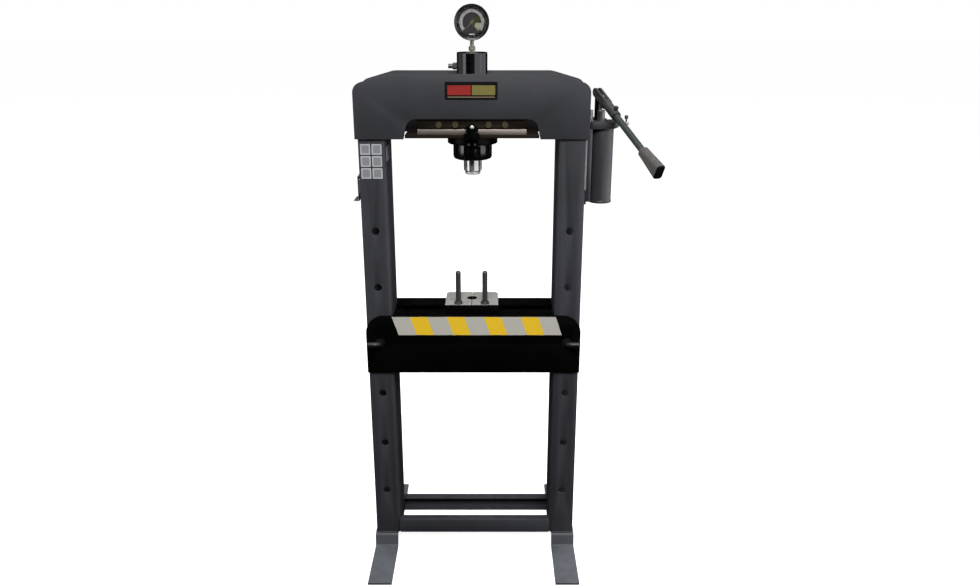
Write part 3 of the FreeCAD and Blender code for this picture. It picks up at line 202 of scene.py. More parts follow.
class Recipe(Builder):
    """A geometry node tree with named inputs that ends in plain mesh with its finish set."""

    def __init__(self, name, **inputs):
        tree = bpy.data.node_groups.new(name, "GeometryNodeTree")
        super().__init__(tree)
        face = tree.interface
        face.new_socket("Geometry", in_out="INPUT", socket_type="NodeSocketGeometry")
        for label, kind in {**inputs, "Finish": "Material"}.items():
            face.new_socket(label, in_out="INPUT", socket_type="NodeSocket" + kind)
        face.new_socket("Geometry", in_out="OUTPUT", socket_type="NodeSocketGeometry")
        self.inputs = tree.nodes.new("NodeGroupInput").outputs
        self.output = tree.nodes.new("NodeGroupOutput").inputs[0]

    def __getitem__(self, label):
        return Wire(self, self.inputs[label])

    def vector(self, x=0.0, y=0.0, z=0.0):
        return self.node("ShaderNodeCombineXYZ", {}, x, y, z)

    def places(self):
        """The three coordinates of each point."""
        return self.node("ShaderNodeSeparateXYZ", {}, self.node("GeometryNodeInputPosition"))

    def move(self, geometry, **settings):
        return self.node("GeometryNodeSetPosition", {}, Geometry=geometry, **settings)

    def raised(self, geometry, rise):
        return self.node("GeometryNodeTransform", {}, Geometry=geometry, Translation=self.vector(z=rise))

    def copies(self, points, shape, **settings):
        return self.node("GeometryNodeInstanceOnPoints", {}, Points=points, Instance=shape, **settings)

    def end(self, geometry):
        solid = self.node("GeometryNodeRealizeInstances", {}, geometry)
        done = self.node("GeometryNodeSetMaterial", {}, solid, Material=self["Finish"])
        self.tree.links.new(done.socket, self.output)
        return self

    def identifier(self, label):
        items = self.tree.interface.items_tree
        return next(item.identifier for item in items if item.name == label and item.in_out == "INPUT")


# ---------------------------------------------------------------- finishes

DUST_GREY = (0.30, 0.30, 0.29)
TOOL_MARK_DEPTH = 0.03 * MM


def shade(colour, factor, lift=0.0):
    """A colour made darker or lighter by a factor, then lifted a little from black."""
    return tuple(channel * factor + lift for channel in colour)


def powder_coat(name, colour, roughness, dust=0.0, shine=0.25):
    """Baked paint: faint clouds of tone, orange peel, and a little dust on what looks up."""
    paint = Finish(name, Metallic=0.0, Specular_IOR_Level=shine)
    clouds = paint.noise(6, 2)
    peel = paint.noise(900, 2)
    tone = paint.blend(colour, shade(colour, 1.25, 0.001), paint.ramp(clouds, 0.35, 0.7))
    if dust:
        settled = paint.upward() * paint.ramp(paint.noise(40, 5, 0.65), 0.4, 0.75) * dust
        tone = paint.blend(tone, DUST_GREY, settled)
    paint.give(Base_Color=tone, Roughness=paint.level(roughness - 0.05, roughness + 0.08, clouds))
    return paint.bump(peel, 0.09 * MM, 0.6).material


def machined(name, colour, grain, roughness, stain=None, metal=1.0):
    """Cut steel: fine tool marks that run one way, and faint oil stains."""
    steel = Finish(name, Metallic=metal)
    marks = steel.tool_marks(grain)
    dark = shade(colour, 0.72)
    stained = steel.ramp(steel.noise(28, 4, 0.6), 0.52, 0.78) * 0.45
    tone = steel.blend(dark, colour, steel.ramp(marks, 0.3, 0.62))
    tone = steel.blend(tone, stain or dark, stained)
    steel.give(Base_Color=tone, Roughness=steel.level(roughness, roughness + 0.2, marks))
    return steel.bump(marks, TOOL_MARK_DEPTH, 0.5).material


def blacked_below(name, colour, black, level, grain):
    """Gloss-black cut steel that turns dull and near black below a level."""
    steel = Finish(name, Specular_IOR_Level=0.1)
    fade = 4 * MM
    above = steel.ramp(steel.across()["Z"], level - fade, level + fade)
    marks = steel.tool_marks(grain)
    tone = steel.blend(shade(colour, 0.8), colour, steel.ramp(marks, 0.3, 0.62))
    steel.give(Base_Color=steel.blend(black, tone, above), Metallic=above,
               Roughness=steel.level(0.35, 0.1, above) + marks * 0.1)
    return steel.bump(marks, TOOL_MARK_DEPTH, 0.5).material


def lit_top_shaded_sides(name, shaded_side_colour, lit_top_colour, grain):
    """Painted top light and side shade: faces that look up are pale bare steel with grinding marks and small
    stains, the sides near black.
    """
    block = Finish(name, Specular_IOR_Level=0.05)
    # the share of painted top light, set by which way each face looks
    top = block.upward()
    marks = block.tool_marks(grain)
    stains = block.ramp(block.noise(45, 5, 0.65), 0.45, 0.75)
    lit_ground_top = block.blend(lit_top_colour, shade(lit_top_colour, 0.6), stains * 0.5 + marks * 0.4)
    block.give(Base_Color=block.blend(shaded_side_colour, lit_ground_top, top), Metallic=top * 0.4,
               Roughness=block.level(0.5, 0.42, top) + marks * 0.1)
    return block.bump(marks, TOOL_MARK_DEPTH, 0.5).material


def plated(name, colour, tint, roughness=0.3, speckle=0.06):
    """Zinc plating: small blotches between two tints with a soft metal sheen."""
    zinc = Finish(name, Metallic=1.0)
    spots = zinc.grains(340)["Color"]
    blotch = zinc.noise(70, 5, 0.65)
    tone = zinc.blend(colour, tint, zinc.ramp(blotch, 0.38, 0.66))
    tone = zinc.blend(tone, spots, speckle)
    zinc.give(Base_Color=tone, Roughness=zinc.level(roughness, roughness + 0.2, blotch))
    return zinc.bump(blotch, 0.05 * MM, 0.4).material


def moulded(name, colour, roughness, shine=0.4):
    """Plastic or rubber with a fine moulded grain."""
    skin = Finish(name, Metallic=0.0, Specular_IOR_Level=shine)
    pebble = skin.noise(1400, 2)
    wear = skin.ramp(skin.noise(60, 4, 0.6), 0.5, 0.8)
    skin.give(Base_Color=skin.blend(colour, shade(colour, 1.5, 0.004), wear * 0.5),
              Roughness=skin.level(roughness, roughness + 0.15, wear))
    return skin.bump(pebble, 0.06 * MM, 0.7).material


def grip_skin(name, colour, dark, start, reach, direction):
    """The grip's rubber: pale on the sides, and black on the end face and just round its rim."""
    skin = Finish(name, Metallic=0.0, Specular_IOR_Level=0.12)
    rim = 3 * MM
    pebble = skin.noise(700, 2)
    face = skin.along(start, direction) > reach - rim
    wear = skin.ramp(skin.noise(60, 4, 0.6), 0.45, 0.8)
    side = skin.blend(colour, shade(colour, 1.5), wear * 0.6)
    skin.give(Base_Color=skin.blend(side, dark, face), Roughness=skin.level(0.55, 0.7, wear))
    return skin.bump(pebble, 0.12 * MM, 0.7).material


def weld_metal(name, colour):
    """A weld bead's skin, a little rougher than the plates beside it."""
    bead = Finish(name, Metallic=0.0, Specular_IOR_Level=0.25)
    spatter = bead.noise(700, 4, 0.7)
    bead.give(Base_Color=bead.blend(colour, shade(colour, 1.5), spatter),
              Roughness=bead.level(0.4, 0.6, spatter))
    return bead.bump(spatter, 0.2 * MM, 0.7).material


def printed(name, colour, shine=0.3):
    """Printed film: even colour with faint scuffs."""
    film = Finish(name, Metallic=0.0, Specular_IOR_Level=shine)
    scuffs = film.ramp(film.noise(120, 6, 0.7), 0.55, 0.8)
    film.give(Base_Color=film.blend(colour, shade(colour, 0.8, 0.01), scuffs * 0.6),
              Roughness=film.level(0.45, 0.65, scuffs))
    return film.bump(scuffs, 0.02 * MM, 0.4).material


def clear_glass(name):
    """The gauge's window: clear, with a few faint wipe marks."""
    glass = Finish(name, Base_Color=(1, 1, 1), Metallic=0.0, IOR=1.3, Transmission_Weight=1.0)
    smears = glass.ramp(glass.noise(60, 5, 0.6, (1, 1, 3)), 0.5, 0.85)
    return glass.give(Roughness=glass.level(0.01, 0.09, smears)).material


def dial_card(name, centre, radius):
    """The gauge's card: dark, with a pale scale band open below, an olive field at the upper right and a pale
    field at the lower right.
    """
    card = Finish(name, Metallic=0.0, Roughness=0.5, Specular_IOR_Level=0.2)
    offset = card.across(centre)
    x = offset["X"]
    z = offset["Z"]
    reach = (x * x + z * z).maths("SQRT") / radius
    turn = z.maths("ARCTAN2", x)
    straight_down = -math.pi / 2
    open_below = abs(turn - straight_down) > math.radians(48)
    band = card.within(reach, 0.60, 0.80) * open_below
    olive = card.within(reach, 0.08, 0.60) * card.within(turn, -0.1, 1.0)
    pale_field = card.within(reach, 0.26, 0.66) * card.within(turn, -0.95, -0.1)
    fibre = card.noise(900, 3)
    tone = card.blend((0.024, 0.020, 0.021), (0.040, 0.034, 0.035), fibre)
    tone = card.blend(tone, (0.030, 0.030, 0.006), olive)
    tone = card.blend(tone, (0.25, 0.26, 0.17), pale_field)
    tone = card.blend(tone, (0.30, 0.29, 0.29), band)
    return card.give(Base_Color=tone).bump(fibre, 0.02 * MM, 0.3).material


def stage_floor(name):
    """A pale even floor, a little brighter far away than round the press."""
    floor = Finish(name, Metallic=0.0, Roughness=0.9, Specular_IOR_Level=0.0, Emission_Strength=1.0)
    cloud = floor.noise(1.5, 3)
    offset = floor.across()
    square = offset["X"] * offset["X"] + offset["Y"] * offset["Y"]
    far = floor.ramp(square.maths("SQRT"), 1.0, 5.0)
    floor.give(Base_Color=floor.blend((0.78, 0.78, 0.78), (0.8, 0.8, 0.8), cloud),
               Emission_Color=floor.blend((0.75, 0.75, 0.75), (0.98, 0.98, 0.98), far))
    return floor.material


# how fast tool marks change along X, Y and Z: straight lines along X, or rings round Y or round Z
ALONG_X = (20, 1500, 1500)
ROUND_Y = (30, 1800, 30)
ROUND_Z = (30, 30, 1800)

# the level below which the cylinder turns dull and near black, and how far the lever hangs below level
CYLINDER_DULL_LEVEL = 1450 * MM
LEVER_TILT = math.radians(27.5)

# the lever's line from its fulcrum, and how far the grip's end lies along it
lever_joint = next(joint for joint in frame["joints"] if joint["name"] == "lever_swing")
pole = Vector(lever_joint["axis"]).normalized()
level_share = math.cos(LEVER_TILT)
lever_line = Vector((-pole.y * level_share, pole.x * level_share, -math.sin(LEVER_TILT)))
fulcrum = Vector(lever_joint["pos_m"])
grip_points = [vert.co for vert in frame["nodes"]["handle_grip"].data.vertices]
grip_reach = max((point - fulcrum).dot(lever_line) for point in grip_points)

# paints
frame_coat = powder_coat("frame_coat", (0.036, 0.037, 0.044), 0.5, dust=0.06, shine=0.2)
# the feet's paint is a paler copy of the frame's: painted light where their sloping tops catch the lamps
foot_coat = powder_coat("foot_coat", (0.068, 0.073, 0.083), 0.45, dust=0.1, shine=0.25)
bed_coat = powder_coat("bed_coat", (0.0006, 0.0006, 0.0006), 0.42, dust=0.01, shine=0.05)
guide_coat = powder_coat("guide_coat", (0.012, 0.0085, 0.005), 0.5, shine=0.1)
fitting_coat = powder_coat("fitting_coat", (0.001, 0.001, 0.0012), 0.3, shine=0.08)
pump_coat = powder_coat("pump_coat", (0.029, 0.029, 0.034), 0.3, shine=0.4, dust=0.05)
casting_coat = powder_coat("casting_coat", (0.033, 0.033, 0.037), 0.45, dust=0.1, shine=0.3)
handle_coat = powder_coat("handle_coat", (0.031, 0.038, 0.035), 0.4)
gauge_coat = powder_coat("gauge_coat", (0.012, 0.012, 0.0125), 0.12, shine=1.0)

# steels, brass and zinc
slide_steel = machined("slide_steel", (0.345, 0.30, 0.27), ALONG_X, 0.4, (0.23, 0.19, 0.16))
cylinder_black = blacked_below("cylinder_black", (0.07, 0.07, 0.077), (0.001, 0.001, 0.0012),
                               CYLINDER_DULL_LEVEL, ROUND_Z)
gland_steel = machined("gland_steel", (0.10, 0.10, 0.101), ROUND_Z, 0.1)
shaft_steel = machined("shaft_steel", (0.72, 0.72, 0.73), ROUND_Z, 0.3)
barrel_steel = machined("barrel_steel", (0.26, 0.26, 0.27), ROUND_Z, 0.3)
cross_steel = machined("cross_steel", (0.40, 0.40, 0.41), ROUND_Y, 0.35)
# the ram's chrome and the pressing cap are partly diffuse and pale: a painted reflection that makes them read
# bright
chrome_steel = machined("chrome_steel", (0.75, 0.75, 0.77), ROUND_Z, 0.08, metal=0.75)
cap_steel = machined("cap_steel", (0.86, 0.86, 0.87), ROUND_Z, 0.25, metal=0.3)
brass = machined("brass", (0.36, 0.35, 0.28), ROUND_Z, 0.35)
dull_zinc = plated("dull_zinc", (0.125, 0.100, 0.055), (0.085, 0.068, 0.040), 0.4, speckle=0.012)
pale_zinc = plated("pale_zinc", (0.50, 0.50, 0.49), (0.38, 0.40, 0.42))
bright_zinc = plated("bright_zinc", (0.85, 0.85, 0.82), (0.75, 0.75, 0.74), 0.4)
holder_zinc = plated("holder_zinc", (0.50, 0.50, 0.50), (0.38, 0.39, 0.41), 0.4)
# the arbor plates' pale tops and near-black sides are painted light and shade
arbor_block = lit_top_shaded_sides("arbor_block", (0.001, 0.001, 0.001), (0.55, 0.54, 0.52), ALONG_X)
black_oxide = machined("black_oxide", (0.13, 0.13, 0.132), ROUND_Z, 0.4)
pin_black = machined("pin_black", (0.05, 0.05, 0.055), ROUND_Y, 0.35)

# rubber, plastic and glass
seal_rubber = moulded("seal_rubber", (0.012, 0.012, 0.012), 0.6)
grip_rubber = grip_skin("grip_rubber", (0.084, 0.079, 0.077), (0.002, 0.002, 0.002),
                        fulcrum, grip_reach, lever_line)
knob_plastic = moulded("knob_plastic", (0.001, 0.001, 0.0012), 0.3, shine=0.12)
plug_plastic = moulded("plug_plastic", (0.010, 0.010, 0.010), 0.4)
window_glass = clear_glass("window_glass")

# weld beads
weld_coat = weld_metal("weld_coat", (0.040, 0.041, 0.048))
# the bracket's front bead is paler than the other welds: a painted highlight
rubbed_weld = weld_metal("rubbed_weld", (0.14, 0.14, 0.15))
bed_weld_coat = weld_metal("bed_weld_coat", (0.002, 0.002, 0.002))

# printed films and marks
stripe_yellow = printed("stripe_yellow", (1.0, 0.64, 0.03))
stripe_grey = printed("stripe_grey", (0.58, 0.56, 0.50))
panel_pale = printed("panel_pale", (0.52, 0.53, 0.55))
panel_grey = printed("panel_grey", (0.26, 0.27, 0.29))
panel_border = printed("panel_border", (0.003, 0.003, 0.003), shine=0.15)
plate_red = printed("plate_red", (0.30, 0.020, 0.017))
plate_green = printed("plate_green", (0.19, 0.165, 0.045))
plate_tan = printed("plate_tan", (0.20, 0.16, 0.09))
needle_paint = printed("needle_paint", (0.10, 0.09, 0.05))
mark_pale = printed("mark_pale", (0.55, 0.55, 0.52))
mark_black = printed("mark_black", (0.010, 0.010, 0.010))


# ---------------------------------------------------------------- recipes

def weld_bead():
    """A rippled bead of weld along the carrier's edges."""
    bead = Recipe("weld_bead", Width="Float", Pitch="Float", Ripple="Float", Seed="Int")
    path = bead.node("GeometryNodeMeshToCurve", {}, Mesh=bead["Geometry"])
    path = bead.node("GeometryNodeResampleCurve", {"mode": "LENGTH"}, Curve=path,
                     Length=bead["Pitch"] / 4)
    turn = bead.node("GeometryNodeSplineParameter")["Length"] / bead["Pitch"] * math.tau
    chance = bead.node("FunctionNodeRandomValue", {"data_type": "FLOAT"}, Min=-1.0, Max=1.0,
                       Seed=bead["Seed"])
    swell = (turn.maths("SINE") * 0.6 + chance * 0.4) * bead["Ripple"] + 1
    ring = bead.node("GeometryNodeCurvePrimitiveCircle", {"mode": "RADIUS"}, Resolution=8,
                     Radius=bead["Width"] / 2)
    skin = bead.node("GeometryNodeCurveToMesh", {}, Curve=path, Profile_Curve=ring, Scale=swell,
                     Fill_Caps=True)
    return bead.end(bead.node("GeometryNodeSetShadeSmooth", {}, Geometry=skin, Shade_Smooth=True))


def socket_screw():
    """On each point of the carrier a screw head with a broken edge and a six-sided recess."""
    screw = Recipe("socket_screw", Radius="Float", Height="Float", Turn="Vector")
    radius = screw["Radius"]
    height = screw["Height"]
    head = screw.node("GeometryNodeMeshCylinder", {}, Vertices=32, Side_Segments=5, Radius=radius,
                      Depth=height)
    place = screw.places()
    inward = (place["Z"] > height * 0.49) * -0.12
    head = screw.move(head, Offset=screw.vector(place["X"] * inward, place["Y"] * inward))
    recess = screw.node("GeometryNodeMeshCylinder", {}, Vertices=6, Radius=radius * 0.55, Depth=height)
    head = screw.node("GeometryNodeMeshBoolean", {"operation": "DIFFERENCE"}, Mesh_1=head,
                      Mesh_2=screw.raised(recess, height * 0.6))
    head = screw.raised(head, height / 2)
    turn = screw.node("FunctionNodeEulerToRotation", {}, screw["Turn"])
    return screw.end(screw.copies(screw["Geometry"], head, Rotation=turn))


def dial_marks():
    """Scale marks on a dial that faces the front, a longer one every so many."""
    marks = Recipe("dial_marks", Middle="Vector", Count="Int", Every="Int", First="Float", Sweep="Float",
                   Radius="Float", Length="Float", Width="Float", Depth="Float")
    index = marks.node("GeometryNodeInputIndex")
    turn = index / (marks["Count"] - 1) * marks["Sweep"] + marks["First"]
    longer = (index.maths("MODULO", marks["Every"]) < 0.5) * 0.5 + 1
    points = marks.node("GeometryNodeMeshLine", {}, Count=marks["Count"])
    ring = marks.vector(x=turn.maths("COSINE") * marks["Radius"], z=turn.maths("SINE") * marks["Radius"])
    points = marks.move(points, Position=ring, Offset=marks["Middle"])
    size = marks.vector(marks["Length"], marks["Depth"], marks["Width"])
    bar = marks.node("GeometryNodeMeshCube", {}, Size=size)
    aim = marks.node("FunctionNodeAxisAngleToRotation", {}, Axis=(0, -1, 0), Angle=turn)
    return marks.end(marks.copies(points, bar, Rotation=aim, Scale=marks.vector(longer, 1.0, longer)))


def slanting_stripes():
    """Bars side by side on a plane that faces the front, their lower ends moved to the right."""
    stripe = Recipe("slanting_stripes", Count="Int", First="Vector", Pitch="Float", Width="Float",
                    Height="Float", Depth="Float", Lean="Float")
    size = stripe.vector(stripe["Width"], stripe["Depth"], stripe["Height"])
    bar = stripe.node("GeometryNodeMeshCube", {}, size)
    shift = stripe.places()["Z"] / stripe["Height"] * stripe["Lean"] * -1
    bar = stripe.move(bar, Offset=stripe.vector(shift))
    points = stripe.node("GeometryNodeMeshLine", {}, Count=stripe["Count"],
                         Start_Location=stripe["First"], Offset=stripe.vector(stripe["Pitch"]))
    return stripe.end(stripe.copies(points, bar))


def rows_and_columns():
    """Copies of the carrier's own form in rows and columns across a plane that faces the front."""
    rows = Recipe("rows_and_columns", Columns="Int", Rows="Int", Across="Float", Rise="Float")
    width = (rows["Columns"] - 1) * rows["Across"]
    height = (rows["Rows"] - 1) * rows["Rise"]
    points = rows.node("GeometryNodeMeshGrid", {}, width, height, rows["Columns"], rows["Rows"])
    points = rows.node("GeometryNodeTransform", {}, Geometry=points, Rotation=(math.radians(90), 0, 0))
    return rows.end(rows.copies(points, rows["Geometry"]))


# ---------------------------------------------------------------- pieces

BODIES = frame["record"]["behaviour"]["bodies"]
BODY_OF = {node: body for body, nodes in BODIES.items() for node in nodes}
SLOT_OF = {entry["node"]: entry["material_slot"] for entry in frame["record"]["subparts"]}

RIGHTWARD = (1, 0, 0)
BACKWARD = (0, 1, 0)
MERGE_DISTANCE = 0.001 * MM
EDGE_ROUND = 0.8 * MM
SHARP_SOLID = math.radians(38)
SHARP_FORM = math.radians(35)
FLAT_SEAM = math.radians(0.6)

# the Y of a back face that the scene draws in, and how far, so that it glides clear of the guide bolts
EASED = {"lock_bracket": (-87 * MM, -0.3 * MM)}


def add_piece(name, mesh, finish, body, stands_for=()):
    """Puts a finished mesh into the scene as a piece that rides on a body."""
    piece = bpy.data.objects.new(name, mesh)
    bpy.context.scene.collection.objects.link(piece)
    mesh.materials.clear()
    mesh.materials.append(finish)
    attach(piece, body)
    if stands_for:
        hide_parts(*stands_for)
    return piece


def evaluated_mesh(item):
    """The mesh of an object with its modifiers worked in."""
    graph = bpy.context.evaluated_depsgraph_get()
    return bpy.data.meshes.new_from_object(item.evaluated_get(graph))


def grow(name, recipe, carrier, finish, body, slot, **inputs):
    """Runs a recipe on a carrier mesh and keeps the result as one plain piece."""
    maker = bpy.data.objects.new(name + "_maker", carrier)
    bpy.context.scene.collection.objects.link(maker)
    modifier = maker.modifiers.new("recipe", "NODES")
    modifier.node_group = recipe.tree
    for label, value in {**inputs, "Finish": finish}.items():
        modifier[recipe.identifier(label)] = value
    mesh = evaluated_mesh(maker)
    maker.modifiers.remove(modifier)
    bpy.data.objects.remove(maker)
    return add_piece(name, mesh, finish, body)


def mesh_from(name, verts, edges=(), faces=()):
    mesh = bpy.data.meshes.new(name)
    mesh.from_pydata([tuple(vert) for vert in verts], list(edges), list(faces))
    return mesh


def shade_up_to(mesh, angle):
    """Shades a mesh smooth, apart from edges sharper than the angle."""
    mesh.shade_smooth()
    mesh.set_sharp_from_angle(angle=angle)
    return mesh


def close_mesh(name, form):
    """Turns a bmesh into a mesh with its doubles merged and its faces outward."""
    bmesh.ops.remove_doubles(form, verts=form.verts, dist=MERGE_DISTANCE)
    bmesh.ops.recalc_face_normals(form, faces=form.faces)
    mesh = bpy.data.meshes.new(name)
    form.to_mesh(mesh)
    form.free()
    return shade_up_to(mesh, SHARP_FORM)


def worked_edges(node, finish):
    """The node's own form with its edges broken by a small round, as a piece that stands for it."""
    form = bmesh.new()
    form.from_mesh(frame["nodes"][node].data)
    bmesh.ops.remove_doubles(form, verts=form.verts, dist=MERGE_DISTANCE)
    if node in EASED:
        back, ease = EASED[node]
        for vert in form.verts:
            if abs(vert.co.y - back) < 0.01 * MM:
                vert.co.y += ease
    bmesh.ops.dissolve_limit(form, angle_limit=FLAT_SEAM, verts=form.verts, edges=form.edges)
    mesh = bpy.data.meshes.new(node + "_worked")
    form.to_mesh(mesh)
    form.free()
    blank = bpy.data.objects.new(node + "_blank", mesh)
    bpy.context.scene.collection.objects.link(blank)
    rounding = blank.modifiers.new("rounding", "BEVEL")
    rounding.width = EDGE_ROUND
    rounding.segments = 2
    rounding.limit_method = "ANGLE"
    rounding.angle_limit = SHARP_SOLID
    rounding.miter_outer = "MITER_ARC"
    rounding.use_clamp_overlap = True
    result = shade_up_to(evaluated_mesh(blank), SHARP_SOLID)
    bpy.data.objects.remove(blank)
    return add_piece(node + "_worked", result, finish, BODY_OF[node], (node,))


def coat_node(node, finish):
    """Gives a CAD node that keeps its own mesh its finish."""
    item = frame["nodes"][node]
    item.data.materials.clear()
    item.data.materials.append(finish)


def path_mesh(name, paths):
    """Loose edges along paths of points in millimetres."""
    verts = []
    edges = []
    for path in paths:
        first = len(verts)
        verts += [Vector(point) * MM for point in path]
        edges += [(first + n, first + n + 1) for n in range(len(path) - 1)]
    return mesh_from(name, verts, edges)


def rounded(width, height, radius):
    """The outline of a rectangle with round corners, about its middle."""
    steps = 5
    outline = []
    for turn, (x, y) in enumerate(((1, 1), (-1, 1), (-1, -1), (1, -1))):
        for step in range(steps + 1):
            angle = math.pi / 2 * (turn + step / steps)
            outline.append((x * (width / 2 - radius) + radius * math.cos(angle),
                            y * (height / 2 - radius) + radius * math.sin(angle)))
    return outline


def flat_plate(name, outline, place, right, thick):
    """A thin plate that stands upright, its outline drawn from a place to the right and up."""
    right = Vector(right)
    up = Vector((0, 0, 1))
    out = right.cross(up) * thick
    form = bmesh.new()
    back, front = [[form.verts.new(Vector(place) + right * a + up * b + out * lift) for a, b in outline]
                   for lift in (0, 1)]
    for n in range(len(back)):
        form.faces.new((back[n - 1], back[n], front[n], front[n - 1]))
    form.faces.new(back)
    form.faces.new(front)
    return close_mesh(name, form)


def turned_form(name, profile, middle, steps=96):
    """A closed form turned about a line along Y from an outline of (radius, Y) points."""
    form = bmesh.new()
    verts = [form.verts.new(Vector(middle) + Vector((radius, y, 0))) for radius, y in profile]
    edges = [form.edges.new((verts[n - 1], verts[n])) for n in range(1, len(verts))]
    if profile[0][0] and profile[-1][0]:
        edges.append(form.edges.new((verts[-1], verts[0])))
    bmesh.ops.spin(form, geom=verts + edges, cent=middle, axis=(0, 1, 0), angle=math.tau, steps=steps)
    return close_mesh(name, form)


def numerals(name, places, size, thick):
    """One mesh of plain numbers that face the front, each round its own place."""
    upright = Matrix.Rotation(math.radians(90), 4, "X")
    form = bmesh.new()
    for text, place in places:
        letters = bpy.data.curves.new(name, "FONT")
        letters.body = text
        letters.size = size
        letters.align_x = "CENTER"
        letters.align_y = "CENTER"
        letters.extrude = thick / 2
        maker = bpy.data.objects.new(name + "_maker", letters)
        bpy.context.scene.collection.objects.link(maker)
        mesh = evaluated_mesh(maker)
        mesh.transform(Matrix.Translation(place) @ upright)
        form.from_mesh(mesh)
        bpy.data.objects.remove(maker)
    return close_mesh(name, form)


# the solids whose edges are worked and those that keep their own mesh, by their finish
WORKED = {
    frame_coat: ("left_upright", "right_upright", "front_head_plate", "rear_head_plate",
                 "front_cross_bar", "rear_cross_bar"),
    foot_coat: ("left_foot", "right_foot"),
    bed_coat: ("front_bed_rail", "rear_bed_rail", "bed_ties"),
    guide_coat: ("front_guide_beam", "rear_guide_beam", "head_shelf"),
    slide_steel: ("slide_plate", "front_guide_strip", "rear_guide_strip"),
    cylinder_black: ("cylinder",),
    fitting_coat: ("ring_nut", "carriage_plate", "lock_bracket", "fulcrum_ear"),
    gland_steel: ("gland_nut",),
    arbor_block: ("left_arbor_plate", "right_arbor_plate"),
    pump_coat: ("pump_bracket", "oil_tank"),
    casting_coat: ("pump_head", "lever_fork"),
    holder_zinc: ("tool_holder",),
}
KEPT = {
    dull_zinc: ("guide_bolts",),
    chrome_steel: ("ram",),
    cap_steel: ("pressing_cap",),
    shaft_steel: ("piston", "plunger"),
    barrel_steel: ("pump_barrel",),
    cross_steel: ("plunger_pin", "fulcrum_pin", "valve_spindle", "valve_boss"),
    pin_black: ("left_bed_pin", "right_bed_pin"),
    seal_rubber: ("ram_wiper", "piston_seal"),
    gauge_coat: ("gauge_case", "gauge_bezel"),
    window_glass: ("gauge_glass",),
    needle_paint: ("gauge_needle",),
    brass: ("gauge_stem",),
    pale_zinc: ("pump_connection",),
    black_oxide: ("left_arbor_rod", "right_arbor_rod", "cylinder_connection", "valve_cross_bar",
                  "handle_set_screw"),
    handle_coat: ("handle_rod",),
    grip_rubber: ("handle_grip",),
    knob_plastic: ("lock_knob",),
    plug_plastic: ("filler_plug",),
}
for finish, nodes in WORKED.items():
    for node in nodes:
        worked_edges(node, finish)
for finish, nodes in KEPT.items():
    for node in nodes:
        coat_node(node, finish)


# ---------------------------------------------------------------- gauge

SCALE_START = 222
SCALE_SWEEP = -264
NUMBERED_PARTS = 4


def dress_gauge():
    """The dial's card, the dark lining between dial and window, the scale marks and plain numbers."""
    low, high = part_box("gauge_dial")
    middle = (low + high) / 2
    radius = (high.x - low.x) / 2
    front = low.y
    proud = front - 0.05 * MM
    coat_node("gauge_dial", dial_card("dial_card", tuple(middle), radius))

    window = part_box("gauge_glass")[1].y - 0.1 * MM
    wall = 44.3 * MM
    axis = Vector((middle.x, 0, middle.z))
    lining = turned_form("gauge_lining", [(37 * MM, proud), (wall, window), (wall, proud)], axis)
    add_piece("gauge_lining", lining, gauge_coat, "carriage")

    centre = mesh_from("dial_centre", [middle])
    grow("dial_marks", dial_marks(), centre, mark_black, "carriage", "gauge_face", Count=41, Every=5,
         Middle=(middle.x, proud, middle.z), First=math.radians(SCALE_START),
         Sweep=math.radians(SCALE_SWEEP), Radius=34 * MM, Length=2.6 * MM, Width=0.35 * MM, Depth=0.2 * MM)

    numbers_radius = 29.8 * MM
    places = []
    for step in range(NUMBERED_PARTS + 1):
        angle = math.radians(SCALE_START + SCALE_SWEEP / NUMBERED_PARTS * step)
        place = middle + Vector((math.cos(angle), 0, math.sin(angle))) * numbers_radius
        place.y = front - 0.1 * MM
        places.append((str(step * 10), place))
    numbers = numerals("dial_numbers", places, 5.5 * MM, 0.2 * MM)
    add_piece("dial_numbers", numbers, mark_black, "carriage")

    bar_place = (middle.x, front, middle.z - 33 * MM)
    bar = flat_plate("dial_bar", rounded(16 * MM, 3.2 * MM, 1 * MM), bar_place, RIGHTWARD, 0.15 * MM)
    add_piece("dial_bar", bar, mark_pale, "carriage")


dress_gauge()


# ---------------------------------------------------------------- printed film

FRAME_FRONT = -81 * MM
PLATE_FRONT = -89 * MM
FILM = 0.25 * MM


def add_striped_band():
    """The slanting band on the bed's front: a grey field with four yellow bars."""
    stripes = slanting_stripes()
    start = mesh_from("band_start", [(0, 0, 0)])
    level = 799 * MM
    height = 60 * MM
    lean = 20 * MM
    pitch = 114 * MM
    border = 1 * MM
    grow("band_field", stripes, start, stripe_grey, "frame", "bed_paint", Count=1, Pitch=pitch,
         First=(11.5 * MM, PLATE_FRONT, level), Width=506 * MM, Height=height, Depth=FILM, Lean=lean)
    grow("band_stripes", stripes, start.copy(), stripe_yellow, "frame", "bed_paint", Count=4, Pitch=pitch,
         First=(-158.6 * MM, PLATE_FRONT - FILM / 2, level), Width=54 * MM, Height=height - border,
         Depth=FILM, Lean=lean)


def add_head_plate_film():
    """The head's black plate with a red and a green field over a thin tan line, all of them bare."""
    middle = Vector((-1.5 * MM, PLATE_FRONT, 1508 * MM))
    border = flat_plate("head_film_border", rounded(149 * MM, 50 * MM, 4 * MM), middle, RIGHTWARD, FILM)
    add_piece("head_film_border", border, panel_border, "frame")
    fields = (
        ("head_film_left", -34, 2, 66, 27, plate_red),
        ("head_film_right", 35, 2, 66, 27, plate_green),
        ("head_film_line", 0, -17, 134, 3, plate_tan),
    )
    for name, shift, rise, width, height, finish in fields:
        place = middle + Vector((shift * MM, -FILM, rise * MM))
        outline = rounded(width * MM, height * MM, 1.2 * MM)
        field = flat_plate(name, outline, place, RIGHTWARD, FILM / 2)
        add_piece(name, field, finish, "frame")


